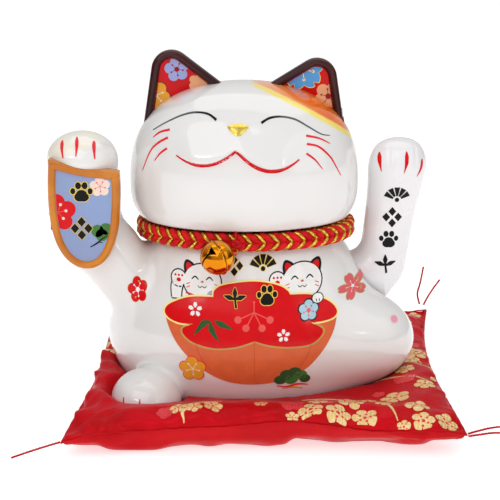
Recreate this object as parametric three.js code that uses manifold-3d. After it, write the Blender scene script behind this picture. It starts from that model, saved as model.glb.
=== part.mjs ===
// A waving ceramic lucky cat on a square brocade cushion. Millimetres, +Z up, the cat faces -Y.
// The origin is the centre of the cushion's underside. The cat's own parts are built around its
// axis, with z = 0 at its base, in a group that stands in the cushion's dent.
import * as THREE from "three";
import { mergeVertices } from "three/addons/utils/BufferGeometryUtils.js";
import Module from "manifold-3d";

const wasm = await Module();
wasm.setup();

// ---------------------------------------------------------------- driving dimensions
const GAP = 0.3; // between pieces that meet
const CAT_X = -13; // the cat sits left of the cushion's centre
const CAT_BASE = 15; // height of the cat's base above the table

const WALL = 5; // fired ceramic
const DEPTH = 0.75; // torso depth over its width
const HEAD = { x: 0, y: -2, z: 157, a: 87, b: 66, up: 74.5, down: 47, powUp: 2.4, powDown: 3 };
const EAR = { front: -8, back: 12, round: 15, rim: 6, recess: 4.5, bevel: 3 };
const FLOOR_TOP = 9.5; // ceramic floor around the base opening
const BASE_HOLE_R = 56;
const RECESS = { r: 61.5, depth: 6 };
const ROPE = { rx: 74, ry: 58, z: 122, r: 8 };

const PIVOT = { y: 5, z: 82 }; // cross axis of the waving arm
const ARM_BORE_R = 19.5;
const ARM_WALL = 1.8;
const AXLE_R = 1.5;
const CHEEK = { inner: 34, outer: 50, thick: 3 };
const PENDULUM_X = 43.5;
const PLATE = { r: 61, low: 2.9, top: 5.6 };
const BATTERY = { x: -8, y: -10, cellR: 7.25, cellLength: 49.3 };
const BELL = { x: -20, y: -77, z: 115, r: 12.5, wall: 0.8 };
const BELL_AXIS = new THREE.Vector3(0.85, 0.45, 0.25).normalize();
const TIE_X = -7; // where the thread tie circles the rope

const CUSHION = { halfX: 141.5, halfY: 135, waist: 8, seam: 13, crown: 21, edge: 1.2 };
const THREAD_R = 0.7;

// ---------------------------------------------------------------- materials
function finish(color, roughness, metalness = 0) {
  return new THREE.MeshStandardMaterial({ color, roughness, metalness });
}

const MATERIALS = {
  porcelain: finish(0xf4f1ec, 0.12),
  pearl: finish(0xf1eef0, 0.25),
  rope: finish(0xb5162a, 0.7),
  thread: finish(0xc4182c, 0.6),
  satin: finish(0xb4101f, 0.45),
  gold: finish(0xd9a441, 0.25, 1),
  brass: finish(0xc9a24a, 0.3, 1),
  steel: finish(0xb8babd, 0.3, 1),
  magnet: finish(0x8f9296, 0.35, 1),
  blackPlastic: finish(0x1c1c1e, 0.5),
  ivoryPlastic: finish(0xe8e4da, 0.45),
  copper: finish(0xb5652f, 0.35, 1),
  board: finish(0x1f6a3c, 0.5),
  cell: finish(0x2f6d46, 0.35),
  redWire: finish(0xc22222, 0.5),
  blackWire: finish(0x161616, 0.5),
};

// ---------------------------------------------------------------- solids
// A closed three.js geometry as a solid that can be joined and cut.
function solid(geometry) {
  const loose = geometry.index ? geometry.toNonIndexed() : geometry;
  const bare = new THREE.BufferGeometry();
  bare.setAttribute("position", loose.getAttribute("position"));
  const merged = mergeVertices(bare, 1e-3);
  const corners = merged.index.array;
  const triangles = [];
  for (let i = 0; i < corners.length; i += 3) {
    const [a, b, c] = [corners[i], corners[i + 1], corners[i + 2]];
    if (a !== b && b !== c && c !== a) triangles.push(a, b, c);
  }
  const build = (triVerts) =>
    new wasm.Manifold(
      new wasm.Mesh({
        numProp: 3,
        vertProperties: new Float32Array(merged.attributes.position.array),
        triVerts: new Uint32Array(triVerts),
      }),
    );
  const made = build(triangles);
  return made.volume() < 0 ? build(triangles.toReversed()) : made;
}

function geometryOf(shape) {
  const mesh = shape.getMesh();
  const geometry = new THREE.BufferGeometry();
  geometry.setAttribute("position", new THREE.BufferAttribute(mesh.vertProperties, 3));
  geometry.setIndex(new THREE.BufferAttribute(mesh.triVerts, 1));
  geometry.computeVertexNormals();
  return geometry;
}

const join = (first, ...others) => others.reduce((sum, other) => sum.add(other), first);
const cut = (first, ...others) => others.reduce((rest, other) => rest.subtract(other), first);

// A box from its low corner to its high corner.
function block(low, high) {
  const size = high.map((value, i) => value - low[i]);
  const centre = high.map((value, i) => (value + low[i]) / 2);
  return solid(new THREE.BoxGeometry(...size).translate(...centre));
}

// A cylinder between two values along X, Y or Z, around the point given by the other two.
function rod(axis, from, to, r, [p, q], sides = 16) {
  const geometry = new THREE.CylinderGeometry(r, r, to - from, sides);
  const middle = (from + to) / 2;
  if (axis === "x") return solid(geometry.rotateZ(Math.PI / 2).translate(middle, p, q));
  if (axis === "y") return solid(geometry.translate(p, middle, q));
  return solid(geometry.rotateX(Math.PI / 2).translate(p, q, middle));
}

// A turned shape from [radius, height] points, around Z.
function turned(points, sides) {
  const profile = points.map(([r, z]) => new THREE.Vector2(r, z));
  return new THREE.LatheGeometry(profile, sides).rotateX(Math.PI / 2);
}

// A turned shape whose side is a smooth curve, closed flat at both ends.
function turnedSmooth(points, steps, sides) {
  const curve = new THREE.SplineCurve(points.map(([r, z]) => new THREE.Vector2(r, z)));
  const side = curve.getPoints(steps).map((point) => [point.x, point.y]);
  return turned([[0, side[0][1]], ...side, [0, side.at(-1)[1]]], sides);
}

function ellipsoid([x, y, z], [a, b, c], across = 24, down = 14) {
  return solid(
    new THREE.SphereGeometry(1, across, down).rotateX(Math.PI / 2).scale(a, b, c).translate(x, y, z),
  );
}

// A round-ended bar from one point to another.
function capsule(from, to, r, sides = 16) {
  const start = new THREE.Vector3(...from);
  const end = new THREE.Vector3(...to);
  const along = end.clone().sub(start);
  const geometry = new THREE.CapsuleGeometry(r, along.length(), 4, sides);
  const turn = new THREE.Quaternion().setFromUnitVectors(
    new THREE.Vector3(0, 1, 0),
    along.clone().normalize(),
  );
  return solid(geometry.applyQuaternion(turn).translate(...start.add(end).multiplyScalar(0.5)));
}

// An outline in the X-Z plane, from y = front to y = back.
function slab(outline, front, back, bevel = 0) {
  const options = {
    depth: back - front - 2 * bevel,
    curveSegments: 6,
    bevelEnabled: bevel > 0,
    bevelSize: bevel,
    bevelThickness: bevel,
    bevelOffset: -bevel,
    bevelSegments: 2,
  };
  const geometry = new THREE.ExtrudeGeometry(outline, options);
  return solid(geometry.rotateX(Math.PI / 2).translate(0, back - bevel, 0));
}

function tube(points, r, sides = 8, steps = 16) {
  const path = new THREE.CatmullRomCurve3(points.map((p) => new THREE.Vector3(...p)));
  const section = new THREE.Shape();
  section.absarc(0, 0, r, 0, 2 * Math.PI);
  const corners = section.getSpacedPoints(sides).slice(0, sides);
  const geometry = new THREE.ExtrudeGeometry(new THREE.Shape(corners), {
    extrudePath: path,
    steps,
  });
  return solid(geometry);
}

const part = new THREE.Group();
const cat = new THREE.Group();
cat.position.set(CAT_X, 0, CAT_BASE);
part.add(cat);

function addTo(group, name, shape, material) {
  const mesh = new THREE.Mesh(geometryOf(shape), MATERIALS[material]);
  mesh.name = name;
  group.add(mesh);
  return mesh;
}

const add = (name, shape, material) => addTo(cat, name, shape, material);

// ---------------------------------------------------------------- ceramic body
const TORSO_SIDE = [[92, 0], [101, 14], [107, 38], [104, 58], [95, 79], [82, 99], [68, 121], [64, 134]];

function torso(inset, low) {
  const side = TORSO_SIDE.map(([r, z]) => [r - inset, z]);
  const depth = (100 * DEPTH - inset) / (100 - inset);
  const form = turnedSmooth(side, inset > 0 ? 6 : 10, inset > 0 ? 20 : 36);
  const shape = solid(form.scale(1, depth, 1));
  return cut(shape, block([-150, -150, -30], [150, 150, low]));
}

// A round head, fuller above than below: each half is its own superellipsoid.
function head(inset) {
  const fine = inset === 0;
  const geometry = new THREE.SphereGeometry(1, fine ? 32 : 18, fine ? 16 : 8).rotateX(Math.PI / 2);
  const at = geometry.getAttribute("position");
  for (let i = 0; i < at.count; i += 1) {
    const [x, y, z] = [at.getX(i), at.getY(i), at.getZ(i)];
    const power = z > 0 ? HEAD.powUp : HEAD.powDown;
    const height = (z > 0 ? HEAD.up : HEAD.down) - inset;
    const stretch = (Math.hypot(x, y) ** power + Math.abs(z) ** power) ** (-1 / power);
    at.setXYZ(i, x * stretch * (HEAD.a - inset), y * stretch * (HEAD.b - inset), z * stretch * height);
  }
  return solid(geometry.translate(HEAD.x, HEAD.y, HEAD.z));
}

// A rounded triangle: the outer and inner lower corners, and the centre of the round tip.
function earOutline(outer, tip, inner, r) {
  const side = Math.sign(tip[0] - inner[0]);
  const touch = (corner, turn) => {
    const [dx, dy] = [corner[0] - tip[0], corner[1] - tip[1]];
    return Math.atan2(dy, dx) + turn * Math.acos(r / Math.hypot(dx, dy));
  };
  const from = touch(outer, side > 0 ? 1 : -1);
  const to = touch(inner, side > 0 ? -1 : 1);
  const outline = new THREE.Shape();
  outline.moveTo(...outer);
  outline.lineTo(tip[0] + r * Math.cos(from), tip[1] + r * Math.sin(from));
  outline.absarc(tip[0], tip[1], r, from, to, side < 0);
  outline.lineTo(...inner);
  outline.closePath();
  return outline;
}

function ear(outer, tip, inner) {
  const side = Math.sign(outer[0]);
  const shape = slab(earOutline(outer, tip, inner, EAR.round), EAR.front, EAR.back, EAR.bevel);
  const hollow = earOutline(
    [outer[0] - side * EAR.rim, outer[1] - EAR.rim],
    tip,
    [inner[0] + side * EAR.rim, inner[1] - EAR.rim],
    EAR.round - EAR.rim,
  );
  return cut(shape, slab(hollow, EAR.front - 5, EAR.front + EAR.recess));
}

function plaque() {
  const side = new THREE.SplineCurve(
    [[-144, 177], [-145, 147], [-138, 112], [-118, 95], [-98, 111], [-91, 143], [-92, 170]].map(
      ([x, z]) => new THREE.Vector2(x, z),
    ),
  );
  return slab(new THREE.Shape(side.getPoints(20)), -54, -40, 2);
}

function ropeRing(r, around, along) {
  const geometry = new THREE.TorusGeometry(100, r, around, along);
  const at = geometry.getAttribute("position");
  for (let i = 0; i < at.count; i += 1) {
    const angle = Math.atan2(at.getY(i), at.getX(i));
    const out = Math.hypot(at.getX(i), at.getY(i)) - 100;
    const normal = new THREE.Vector2(Math.cos(angle) * ROPE.ry, Math.sin(angle) * ROPE.rx).normalize();
    at.setX(i, ROPE.rx * Math.cos(angle) + out * normal.x);
    at.setY(i, ROPE.ry * Math.sin(angle) + out * normal.y);
  }
  return solid(geometry.translate(0, 0, ROPE.z));
}

const tieCentre = [TIE_X, -ROPE.ry * Math.sqrt(1 - (TIE_X / ROPE.rx) ** 2), ROPE.z];
const sleeveY = ROPE.ry;

function tieRing(thickness) {
  const geometry = new THREE.TorusGeometry(9.5, thickness, 6, 18).rotateY(Math.PI / 2);
  return solid(geometry.translate(...tieCentre));
}

// The right haunch, the left foot and the tail, each a little larger for the dent they press.
const haunch = (loose) =>
  ellipsoid([78, -18, 35], [50 + loose, 38 + loose, 42 + loose], 20, 12);
const foot = (loose) => ellipsoid([-70, -68, 7], [28 + loose, 30 + loose, 25 + loose], 18, 10);
const tail = (loose) => ellipsoid([0, 72, 25], [14 + loose, 16 + loose, 14 + loose], 14, 8);

function ceramicBody() {
  const ears = [
    ear([-77, 194], [-55, 240], [-12, 226]),
    ear([79, 198], [53, 234], [8, 224]),
  ];
  const muzzle = [
    ellipsoid([-27, -57, 189], [22, 8, 12], 14, 8),
    ellipsoid([16, -57, 187], [22, 8, 12], 14, 8),
  ];
  const raisedArm = [
    capsule([-113, -22, 105], [-80, -18, 69], 26.5),
    capsule([-118, -22, 173], [-118, -22, 110], 26.5),
    ellipsoid([-118, -34, 172], [27, 27, 28], 18, 10),
  ];
  const rounds = [torso(0, 0), head(0), haunch(0), foot(0), tail(0)];
  const outside = join(...rounds, ...ears, ...muzzle, ...raisedArm, plaque());
  const inside = join(torso(WALL, FLOOR_TOP), head(WALL));
  const openings = [
    block([-200, -200, -60], [200, 200, 0]),
    rod("z", -1, FLOOR_TOP + 3, BASE_HOLE_R, [0, 0], 36),
    rod("z", -1, RECESS.depth, RECESS.r, [0, 0], 36),
    rod("x", 60, 150, ARM_BORE_R, [PIVOT.y, PIVOT.z], 24),
    ropeRing(ROPE.r + 0.5, 8, 44),
    tieRing(1.3),
    rod("x", -8.4, 8.4, 10.2, [sleeveY, ROPE.z], 16),
  ];
  return cut(outside, inside, ...openings);
}

add("ceramic_body", ceramicBody(), "porcelain");

// ---------------------------------------------------------------- collar and bell
add("collar_rope", ropeRing(ROPE.r, 8, 44), "rope");
add(
  "collar_sleeve",
  cut(
    rod("x", -8, 8, 9.8, [sleeveY, ROPE.z], 16),
    rod("x", -9, 9, 8.8, [sleeveY, ROPE.z], 16),
  ),
  "gold",
);

const bellCentre = new THREE.Vector3(BELL.x, BELL.y, BELL.z);
const LOOP = { r: 2.2, wire: 0.5 };
const loopCentre = bellCentre.clone().addScaledVector(BELL_AXIS, BELL.r + LOOP.r - LOOP.wire);
// The knot sits in front of the tie, and its thread passes through the bell's loop.
const knot = [TIE_X, tieCentre[1] - 10.6, ROPE.z + 0.6];
add(
  "bell_tie",
  join(
    tieRing(0.85),
    ellipsoid(knot, [2.6, 1.8, 1.9], 12, 8),
    tube(
      [knot, [-7.6, -70.4, 120.6], loopCentre.toArray(), [-7.6, -69.8, 116.3], [TIE_X, -65.2, 115.6]],
      0.6,
      6,
      12,
    ),
  ),
  "thread",
);

const bell = new THREE.Group();
bell.position.copy(bellCentre);
const sideways = new THREE.Vector3(0, 0, 1).cross(BELL_AXIS).normalize();
const upright = new THREE.Vector3().crossVectors(BELL_AXIS, sideways);
bell.setRotationFromMatrix(new THREE.Matrix4().makeBasis(sideways, upright, BELL_AXIS));
cat.add(bell);

// Half of a hollow ball above or below its seam, with a rolled rim.
function bellHalf(side) {
  const inner = BELL.r - BELL.wall;
  const ball = ellipsoid([0, 0, 0], [BELL.r, BELL.r, BELL.r], 20, 10);
  const rim = rod("z", Math.min(0, side), Math.max(0, side), BELL.r + 0.5, [0, 0], 20);
  const hollow = ellipsoid([0, 0, 0], [inner, inner, inner], 20, 10);
  const keep = block([-20, -20, side > 0 ? GAP / 2 : -20], [20, 20, side > 0 ? 20 : -GAP / 2]);
  return cut(join(ball, rim), hollow).intersect(keep);
}

const wireLoop = solid(
  new THREE.TorusGeometry(LOOP.r, LOOP.wire, 6, 14).translate(0, BELL.r + LOOP.r - LOOP.wire, 0),
);
const loopTurned = wireLoop.transform(
  new THREE.Matrix4().makeBasis(
    new THREE.Vector3(1, 0, 0),
    new THREE.Vector3(0, 0, 1),
    new THREE.Vector3(0, -1, 0),
  ).elements,
);
addTo(bell, "bell_cap", join(bellHalf(1), loopTurned), "gold");
addTo(
  bell,
  "bell_cup",
  cut(
    bellHalf(-1),
    block([-1, -BELL.r, -20], [1, BELL.r, -BELL.r * 0.45]),
    rod("z", -20, 0, 2.2, [0, BELL.r * 0.62], 10),
    rod("z", -20, 0, 2.2, [0, -BELL.r * 0.62], 10),
  ),
  "gold",
);
add("bell_pellet", ellipsoid([BELL.x, BELL.y, BELL.z - 8], [3, 3, 3], 12, 8), "steel");

// ---------------------------------------------------------------- waving arm
// [height, centre along X, radius]
const ARM_LINE = [
  [63.5, 103, 0.5], [66, 103, 10], [72, 103, 16], [82, 103, 18.5], [100, 106, 18.3],
  [130, 110, 19], [150, 113, 20.5], [168, 115, 22], [180, 115.5, 18], [186, 116, 10.5], [188, 116, 0.5],
];

function armForm(inset) {
  const rows = new THREE.CatmullRomCurve3(ARM_LINE.map((row) => new THREE.Vector3(...row)));
  const points = rows.getPoints(inset > 0 ? 9 : 14);
  const side = points.map((p) => [Math.max(p.z - inset, 0.1), p.x]);
  const low = points[0].x + inset;
  const high = points.at(-1).x - inset;
  const squeezed = side.map(([r, z]) => [r, THREE.MathUtils.mapLinear(z, 63.5, 188, low, high)]);
  const geometry = turned([[0, low], ...squeezed, [0, high]], inset > 0 ? 16 : 22);
  const at = geometry.getAttribute("position");
  const centre = (z) => {
    const above = ARM_LINE.findIndex((row) => row[0] >= z);
    if (above < 1) return above < 0 ? ARM_LINE.at(-1)[1] : ARM_LINE[0][1];
    const [a, b] = [ARM_LINE[above - 1], ARM_LINE[above]];
    return THREE.MathUtils.mapLinear(z, a[0], b[0], a[1], b[1]);
  };
  for (let i = 0; i < at.count; i += 1) {
    at.setXYZ(i, at.getX(i) + centre(at.getZ(i)), PIVOT.y + 0.9 * at.getY(i), at.getZ(i));
  }
  return solid(geometry);
}

const NECK_R = 17;
const HUB_R = NECK_R - ARM_WALL - GAP;
const armOutside = join(armForm(0), rod("x", 74, 103, NECK_R, [PIVOT.y, PIVOT.z], 24));
const armInside = join(
  armForm(ARM_WALL),
  rod("x", 73, 102, NECK_R - ARM_WALL, [PIVOT.y, PIVOT.z], 24),
);
const armShell = cut(armOutside, armInside);
add(
  "arm_front_shell",
  armShell.intersect(block([60, -60, 40], [160, PIVOT.y - GAP / 2, 220])),
  "pearl",
);
add(
  "arm_rear_shell",
  armShell.intersect(block([60, PIVOT.y + GAP / 2, 40], [160, 60, 220])),
  "pearl",
);
add(
  "arm_hub",
  cut(
    rod("x", 75, 95, HUB_R, [PIVOT.y, PIVOT.z], 24),
    rod("x", 74, 93, AXLE_R + GAP, [PIVOT.y, PIVOT.z], 12),
  ),
  "ivoryPlastic",
);
add("arm_axle", rod("x", 30.5, 92.5, AXLE_R, [PIVOT.y, PIVOT.z], 12), "steel");
add(
  "axle_clip",
  cut(
    rod("x", 31.2, 32, 3.4, [PIVOT.y, PIVOT.z], 12),
    rod("x", 31, 33, AXLE_R + GAP, [PIVOT.y, PIVOT.z], 12),
  ),
  "steel",
);

const WEIGHT = { low: 38.3, top: 54.3, halfY: 18 };
const MAGNET = { r: 6, low: 28, top: 33 };
add(
  "pendulum_lever",
  cut(
    join(
      rod("x", 38.5, 48.5, 5, [PIVOT.y, PIVOT.z], 20),
      block([42, PIVOT.y - 3.5, MAGNET.top + 1], [45, PIVOT.y + 3.5, PIVOT.z]),
      rod("z", MAGNET.top + GAP, 36.3, 6, [PENDULUM_X, PIVOT.y], 20),
    ),
    rod("x", 30, 60, AXLE_R + GAP, [PIVOT.y, PIVOT.z], 12),
  ),
  "ivoryPlastic",
);
add(
  "counterweight",
  cut(
    block([38, PIVOT.y - WEIGHT.halfY, WEIGHT.low], [49, PIVOT.y + WEIGHT.halfY, WEIGHT.top]),
    block([42 - GAP, PIVOT.y - 3.5 - GAP, 30], [45 + GAP, PIVOT.y + 3.5 + GAP, 60]),
  ),
  "steel",
);
add("pendulum_magnet", rod("z", MAGNET.low, MAGNET.top, MAGNET.r, [PENDULUM_X, PIVOT.y], 20), "magnet");

// ---------------------------------------------------------------- drive
const TOWER = { low: PLATE.top + GAP, foot: 8.9, top: 93, halfY: 18, screwX: 42, screwY: 14.5 };
const STOP = { offset: 9.8, z: 70.5, r: 1.5 };

function driveTower() {
  const cheeks = [CHEEK.inner, CHEEK.outer].map((x) =>
    block([x, PIVOT.y - 9, TOWER.low], [x + CHEEK.thick, PIVOT.y + 9, TOWER.top]),
  );
  const stops = [-1, 1].map((side) =>
    rod("x", CHEEK.inner + 1, CHEEK.outer + 1, STOP.r, [PIVOT.y + side * STOP.offset, STOP.z], 10),
  );
  const ears = [-1, 1].map((side) =>
    block(
      [CHEEK.inner, Math.min(0, side * TOWER.halfY) + PIVOT.y, TOWER.low],
      [CHEEK.outer, Math.max(0, side * TOWER.halfY) + PIVOT.y, TOWER.foot],
    ),
  );
  const bar = block([CHEEK.inner, PIVOT.y - 5, TOWER.top - 3], [CHEEK.outer + 3, PIVOT.y + 5, TOWER.top]);
  const bearing = rod("x", 30, 60, 3 + GAP, [PIVOT.y, PIVOT.z], 16);
  const screwHoles = [-1, 1].map((side) =>
    rod("z", 0, 12, 1.5 + GAP, [TOWER.screwX, PIVOT.y + side * TOWER.screwY], 12),
  );
  return cut(join(...cheeks, ...stops, ...ears, bar), bearing, ...screwHoles);
}

add("drive_tower", driveTower(), "ivoryPlastic");

function bush(flange, from, to) {
  const flangeFrom = flange < 0 ? from - 1 : to;
  return cut(
    join(
      rod("x", from, to, 3, [PIVOT.y, PIVOT.z], 16),
      rod("x", flangeFrom, flangeFrom + 1, 4.8, [PIVOT.y, PIVOT.z], 16),
    ),
    rod("x", 20, 70, AXLE_R + GAP, [PIVOT.y, PIVOT.z], 12),
  );
}

add("bush_inner", bush(-1, CHEEK.inner - GAP, CHEEK.inner + CHEEK.thick), "brass");
add("bush_outer", bush(1, CHEEK.outer, CHEEK.outer + CHEEK.thick + GAP), "brass");

// A pan-head screw that comes up from below, its head at the bottom.
function screw(x, y, low, top) {
  return join(rod("z", low, low + 2, 2.8, [x, y], 14), rod("z", low + 1, top, 1.5, [x, y], 12));
}

for (const [index, side] of [-1, 1].entries()) {
  add(`tower_screw_${index + 1}`, screw(TOWER.screwX, PIVOT.y + side * TOWER.screwY, 0.6, 11), "steel");
}

const coilAt = [PENDULUM_X, PIVOT.y];
add(
  "coil_bobbin",
  join(
    rod("z", TOWER.foot + GAP, TOWER.foot + 1.5, 6, coilAt, 20),
    rod("z", TOWER.foot + 1, 26, 3, coilAt, 16),
    rod("z", 25, 26.3, 6, coilAt, 20),
  ),
  "blackPlastic",
);
add(
  "coil_winding",
  cut(rod("z", 10.7, 24.7, 5.7, coilAt, 20), rod("z", 9, 27, 3 + GAP, coilAt, 16)),
  "copper",
);

const BOARD = { low: [-27, 20, 9], high: [7, 36, 10.2] };
add(
  "circuit_board",
  join(
    block(BOARD.low, BOARD.high),
    block([-18, 25, 10], [-10, 31, 12]),
    rod("z", 10, 18, 3, [0, 28], 14),
    rod("z", 10, 12.5, 2, [-22.5, 23.5], 10),
  ),
  "board",
);

// ---------------------------------------------------------------- base plate and its clips
const CLIP_ANGLES = [100, 200, 310];
const clipPlace = (degrees, r) => {
  const angle = THREE.MathUtils.degToRad(degrees);
  return [r * Math.cos(angle), r * Math.sin(angle)];
};
const DOOR = { halfX: 30, halfY: 19, low: 1.1, top: 2.6, travel: 25 };
const SWITCH = { x: 28, y: 38, halfTravel: 1.8 };

function basePlate() {
  const plate = rod("z", PLATE.low, PLATE.top, PLATE.r, [0, 0], 48);
  const rails = [-1, 1].flatMap((side) => {
    const wall = BATTERY.x + side * (DOOR.halfX + 1.4);
    const lip = BATTERY.x + side * (DOOR.halfX - 0.6);
    const y = [BATTERY.y - DOOR.halfY, BATTERY.y + DOOR.halfY];
    return [
      block([wall - 1, y[0], 0.2], [wall + 1, y[1], PLATE.low + 1]),
      block([Math.min(wall, lip) - 0.5, y[0], 0.2], [Math.max(wall, lip) + 0.5, y[1], 0.8]),
    ];
  });
  const posts = [-1, 1].map((side) => rod("z", 5, 8.7, 2.5, [-10 + side * 13, 28], 12));
  const holes = CLIP_ANGLES.map((degrees) => rod("z", 0, 9, 1.8, clipPlace(degrees, 48), 12));
  const towerHoles = [-1, 1].map((side) =>
    rod("z", 0, 9, 1.8, [TOWER.screwX, PIVOT.y + side * TOWER.screwY], 12),
  );
  const cells = block([BATTERY.x - 27, BATTERY.y - 15, 0], [BATTERY.x + 27, BATTERY.y + 15, 9]);
  const slot = block([SWITCH.x - 4.2, SWITCH.y - 1.9, 0], [SWITCH.x + 4.2, SWITCH.y + 1.9, 9]);
  return cut(join(plate, ...rails, ...posts), ...holes, ...towerHoles, cells, slot);
}

add("base_plate", basePlate(), "ivoryPlastic");

CLIP_ANGLES.forEach((degrees, index) => {
  const clip = cut(
    join(
      block([44, -4, PLATE.top + GAP], [55, 4, FLOOR_TOP + 2.8]),
      block([50, -4, FLOOR_TOP + GAP], [61, 4, FLOOR_TOP + 2.8]),
    ),
    rod("z", 0, 12, 1.8, [48, 0], 12),
  ).rotate([0, 0, degrees]);
  add(`retaining_clip_${index + 1}`, clip, "blackPlastic");
  add(`clip_screw_${index + 1}`, screw(...clipPlace(degrees, 48), 0.6, 10.5), "steel");
});

// ---------------------------------------------------------------- batteries
const BOX_TOP = 23.9;
add(
  "battery_box",
  cut(
    block([BATTERY.x - 31, BATTERY.y - 17, PLATE.top + GAP], [BATTERY.x + 31, BATTERY.y + 17, BOX_TOP]),
    block([BATTERY.x - 29.2, BATTERY.y - 15.3, 0], [BATTERY.x + 29.2, BATTERY.y + 15.3, BOX_TOP - 1.8]),
  ),
  "blackPlastic",
);

const CELL_Z = 14.2;
const spring = (x, y, side) => {
  const turns = 3;
  const points = [];
  for (let step = 0; step <= turns * 8; step += 1) {
    const angle = (step / 8) * 2 * Math.PI;
    const along = x + side * (0.4 + (step / (turns * 8)) * 2.2);
    points.push([along, y + 3.4 * Math.cos(angle), CELL_Z + 3.4 * Math.sin(angle)]);
  }
  return tube(points, 0.28, 4, 24);
};

for (const [index, side] of [1, -1].entries()) {
  const y = BATTERY.y - side * 7.6;
  const from = BATTERY.x - BATTERY.cellLength / 2;
  const to = from + BATTERY.cellLength;
  const nub = side > 0 ? [to - 1, to + 1.2] : [from - 1.2, from + 1];
  const shift = -side * 1.2;
  const cell = join(
    rod("x", from, to, BATTERY.cellR, [y, CELL_Z], 24),
    rod("x", ...nub, 2.7, [y, CELL_Z], 14),
  );
  add(`battery_cell_${index + 1}`, cell.translate([side * 2.4, 0, 0]), "cell");
  const springWall = BATTERY.x - side * 29.2;
  add(`battery_spring_${index + 1}`, spring(springWall - shift * 0.5, y, side), "steel");
  const plateWall = BATTERY.x + side * 29.2;
  const plate = [plateWall - side * GAP, plateWall - side * (GAP + 0.5)].sort((a, b) => a - b);
  add(
    `battery_contact_${index + 1}`,
    block([plate[0], y - 4, CELL_Z - 5], [plate[1], y + 4, CELL_Z + 5]),
    "brass",
  );
}

const doorRidges = [-1, 0, 1].map((row) =>
  block(
    [BATTERY.x - 8, BATTERY.y - 12 + row * 3, DOOR.low - 0.6],
    [BATTERY.x + 8, BATTERY.y - 11 + row * 3, DOOR.low + 0.5],
  ),
);
add(
  "battery_door",
  join(
    block(
      [BATTERY.x - DOOR.halfX, BATTERY.y - DOOR.halfY, DOOR.low],
      [BATTERY.x + DOOR.halfX, BATTERY.y + DOOR.halfY, DOOR.top],
    ),
    ...doorRidges,
  ),
  "blackPlastic",
);

// ---------------------------------------------------------------- switch
const switchWell = block([SWITCH.x - 4.1, SWITCH.y - 2, 0], [SWITCH.x + 4.1, SWITCH.y + 2, 9]);
add(
  "switch_body",
  cut(
    block([SWITCH.x - 7, SWITCH.y - 3.5, PLATE.top + GAP], [SWITCH.x + 7, SWITCH.y + 3.5, 11.5]),
    switchWell,
  ),
  "blackPlastic",
);
const knobX = SWITCH.x - SWITCH.halfTravel;
add("switch_knob", block([knobX - 2, SWITCH.y - 1.5, 0.9], [knobX + 2, SWITCH.y + 1.5, 8.6]), "blackPlastic");

// ---------------------------------------------------------------- leads
add(
  "battery_lead_red",
  tube([[-28, 7.4, 19], [-28, 11, 19.5], [-26, 17, 16.5], [-24, 22, 13.2]], 0.7, 6, 9),
  "redWire",
);
add(
  "battery_lead_black",
  tube([[-14, 7.4, 19], [-14, 11, 19.5], [-13, 17, 16.5], [-7, 22, 11.4]], 0.7, 6, 9),
  "blackWire",
);
add(
  "coil_lead",
  tube([[5, 24, 11.3], [12, 24, 12], [24, 22, 13], [29, 12, 14], [33, 6, 16]], 0.6, 6, 10),
  "redWire",
);

// ---------------------------------------------------------------- cushion
// How far the sewn edge stands above the table: low at the front, raised at the back corners.
const CORNER_LIFT = { backRight: 17, backLeft: 13, frontRight: 4, frontLeft: -2 };

function seamHeight(u, v) {
  const near = (a, b) => Math.max(0, a) ** 3 * Math.max(0, b) ** 2;
  return (
    CUSHION.seam +
    CORNER_LIFT.backRight * near(u, v) +
    CORNER_LIFT.backLeft * near(-u, v) +
    CORNER_LIFT.frontRight * near(u, -v) +
    CORNER_LIFT.frontLeft * near(-u, -v)
  );
}

function cushionForm() {
  const geometry = new THREE.BoxGeometry(2, 2, 2, 16, 16, 1);
  const at = geometry.getAttribute("position");
  for (let i = 0; i < at.count; i += 1) {
    const [u, v, side] = [at.getX(i), at.getY(i), Math.sign(at.getZ(i))];
    const x = u * (CUSHION.halfX - CUSHION.waist * (1 - v * v));
    const y = v * (CUSHION.halfY - CUSHION.waist * 0.6 * (1 - u * u));
    const fall = (t) => Math.max(0, 1 - Math.abs(t) ** 2.5);
    const seam = seamHeight(u, v);
    const top = seam + CUSHION.edge + CUSHION.crown * (fall(u) * fall(v)) ** 0.6;
    const edge = Math.max(Math.abs(u), Math.abs(v));
    const rise = THREE.MathUtils.smoothstep(edge, 0.72, 1);
    const z = side > 0 ? top : (seam - CUSHION.edge) * rise;
    at.setXYZ(i, x, y, z);
  }
  return solid(geometry);
}

// The dent that the cat presses: its own outline, with a little clearance.
function dent() {
  const loose = 0.4;
  const shapes = [
    torso(-loose, 0),
    haunch(loose),
    foot(loose),
    tail(loose),
    rod("z", 0, 30, 97, [0, 0], 48).scale([1, DEPTH, 1]),
  ];
  const trimmed = cut(join(...shapes), block([-200, -200, -60], [200, 200, -GAP]));
  const pressed = join(trimmed, rod("z", -GAP, 5, 92.4, [0, 0], 48).scale([1, DEPTH, 1]));
  return pressed.translate([CAT_X, 0, CAT_BASE]);
}

addTo(part, "cushion", cut(cushionForm(), dent()), "satin");

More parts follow.
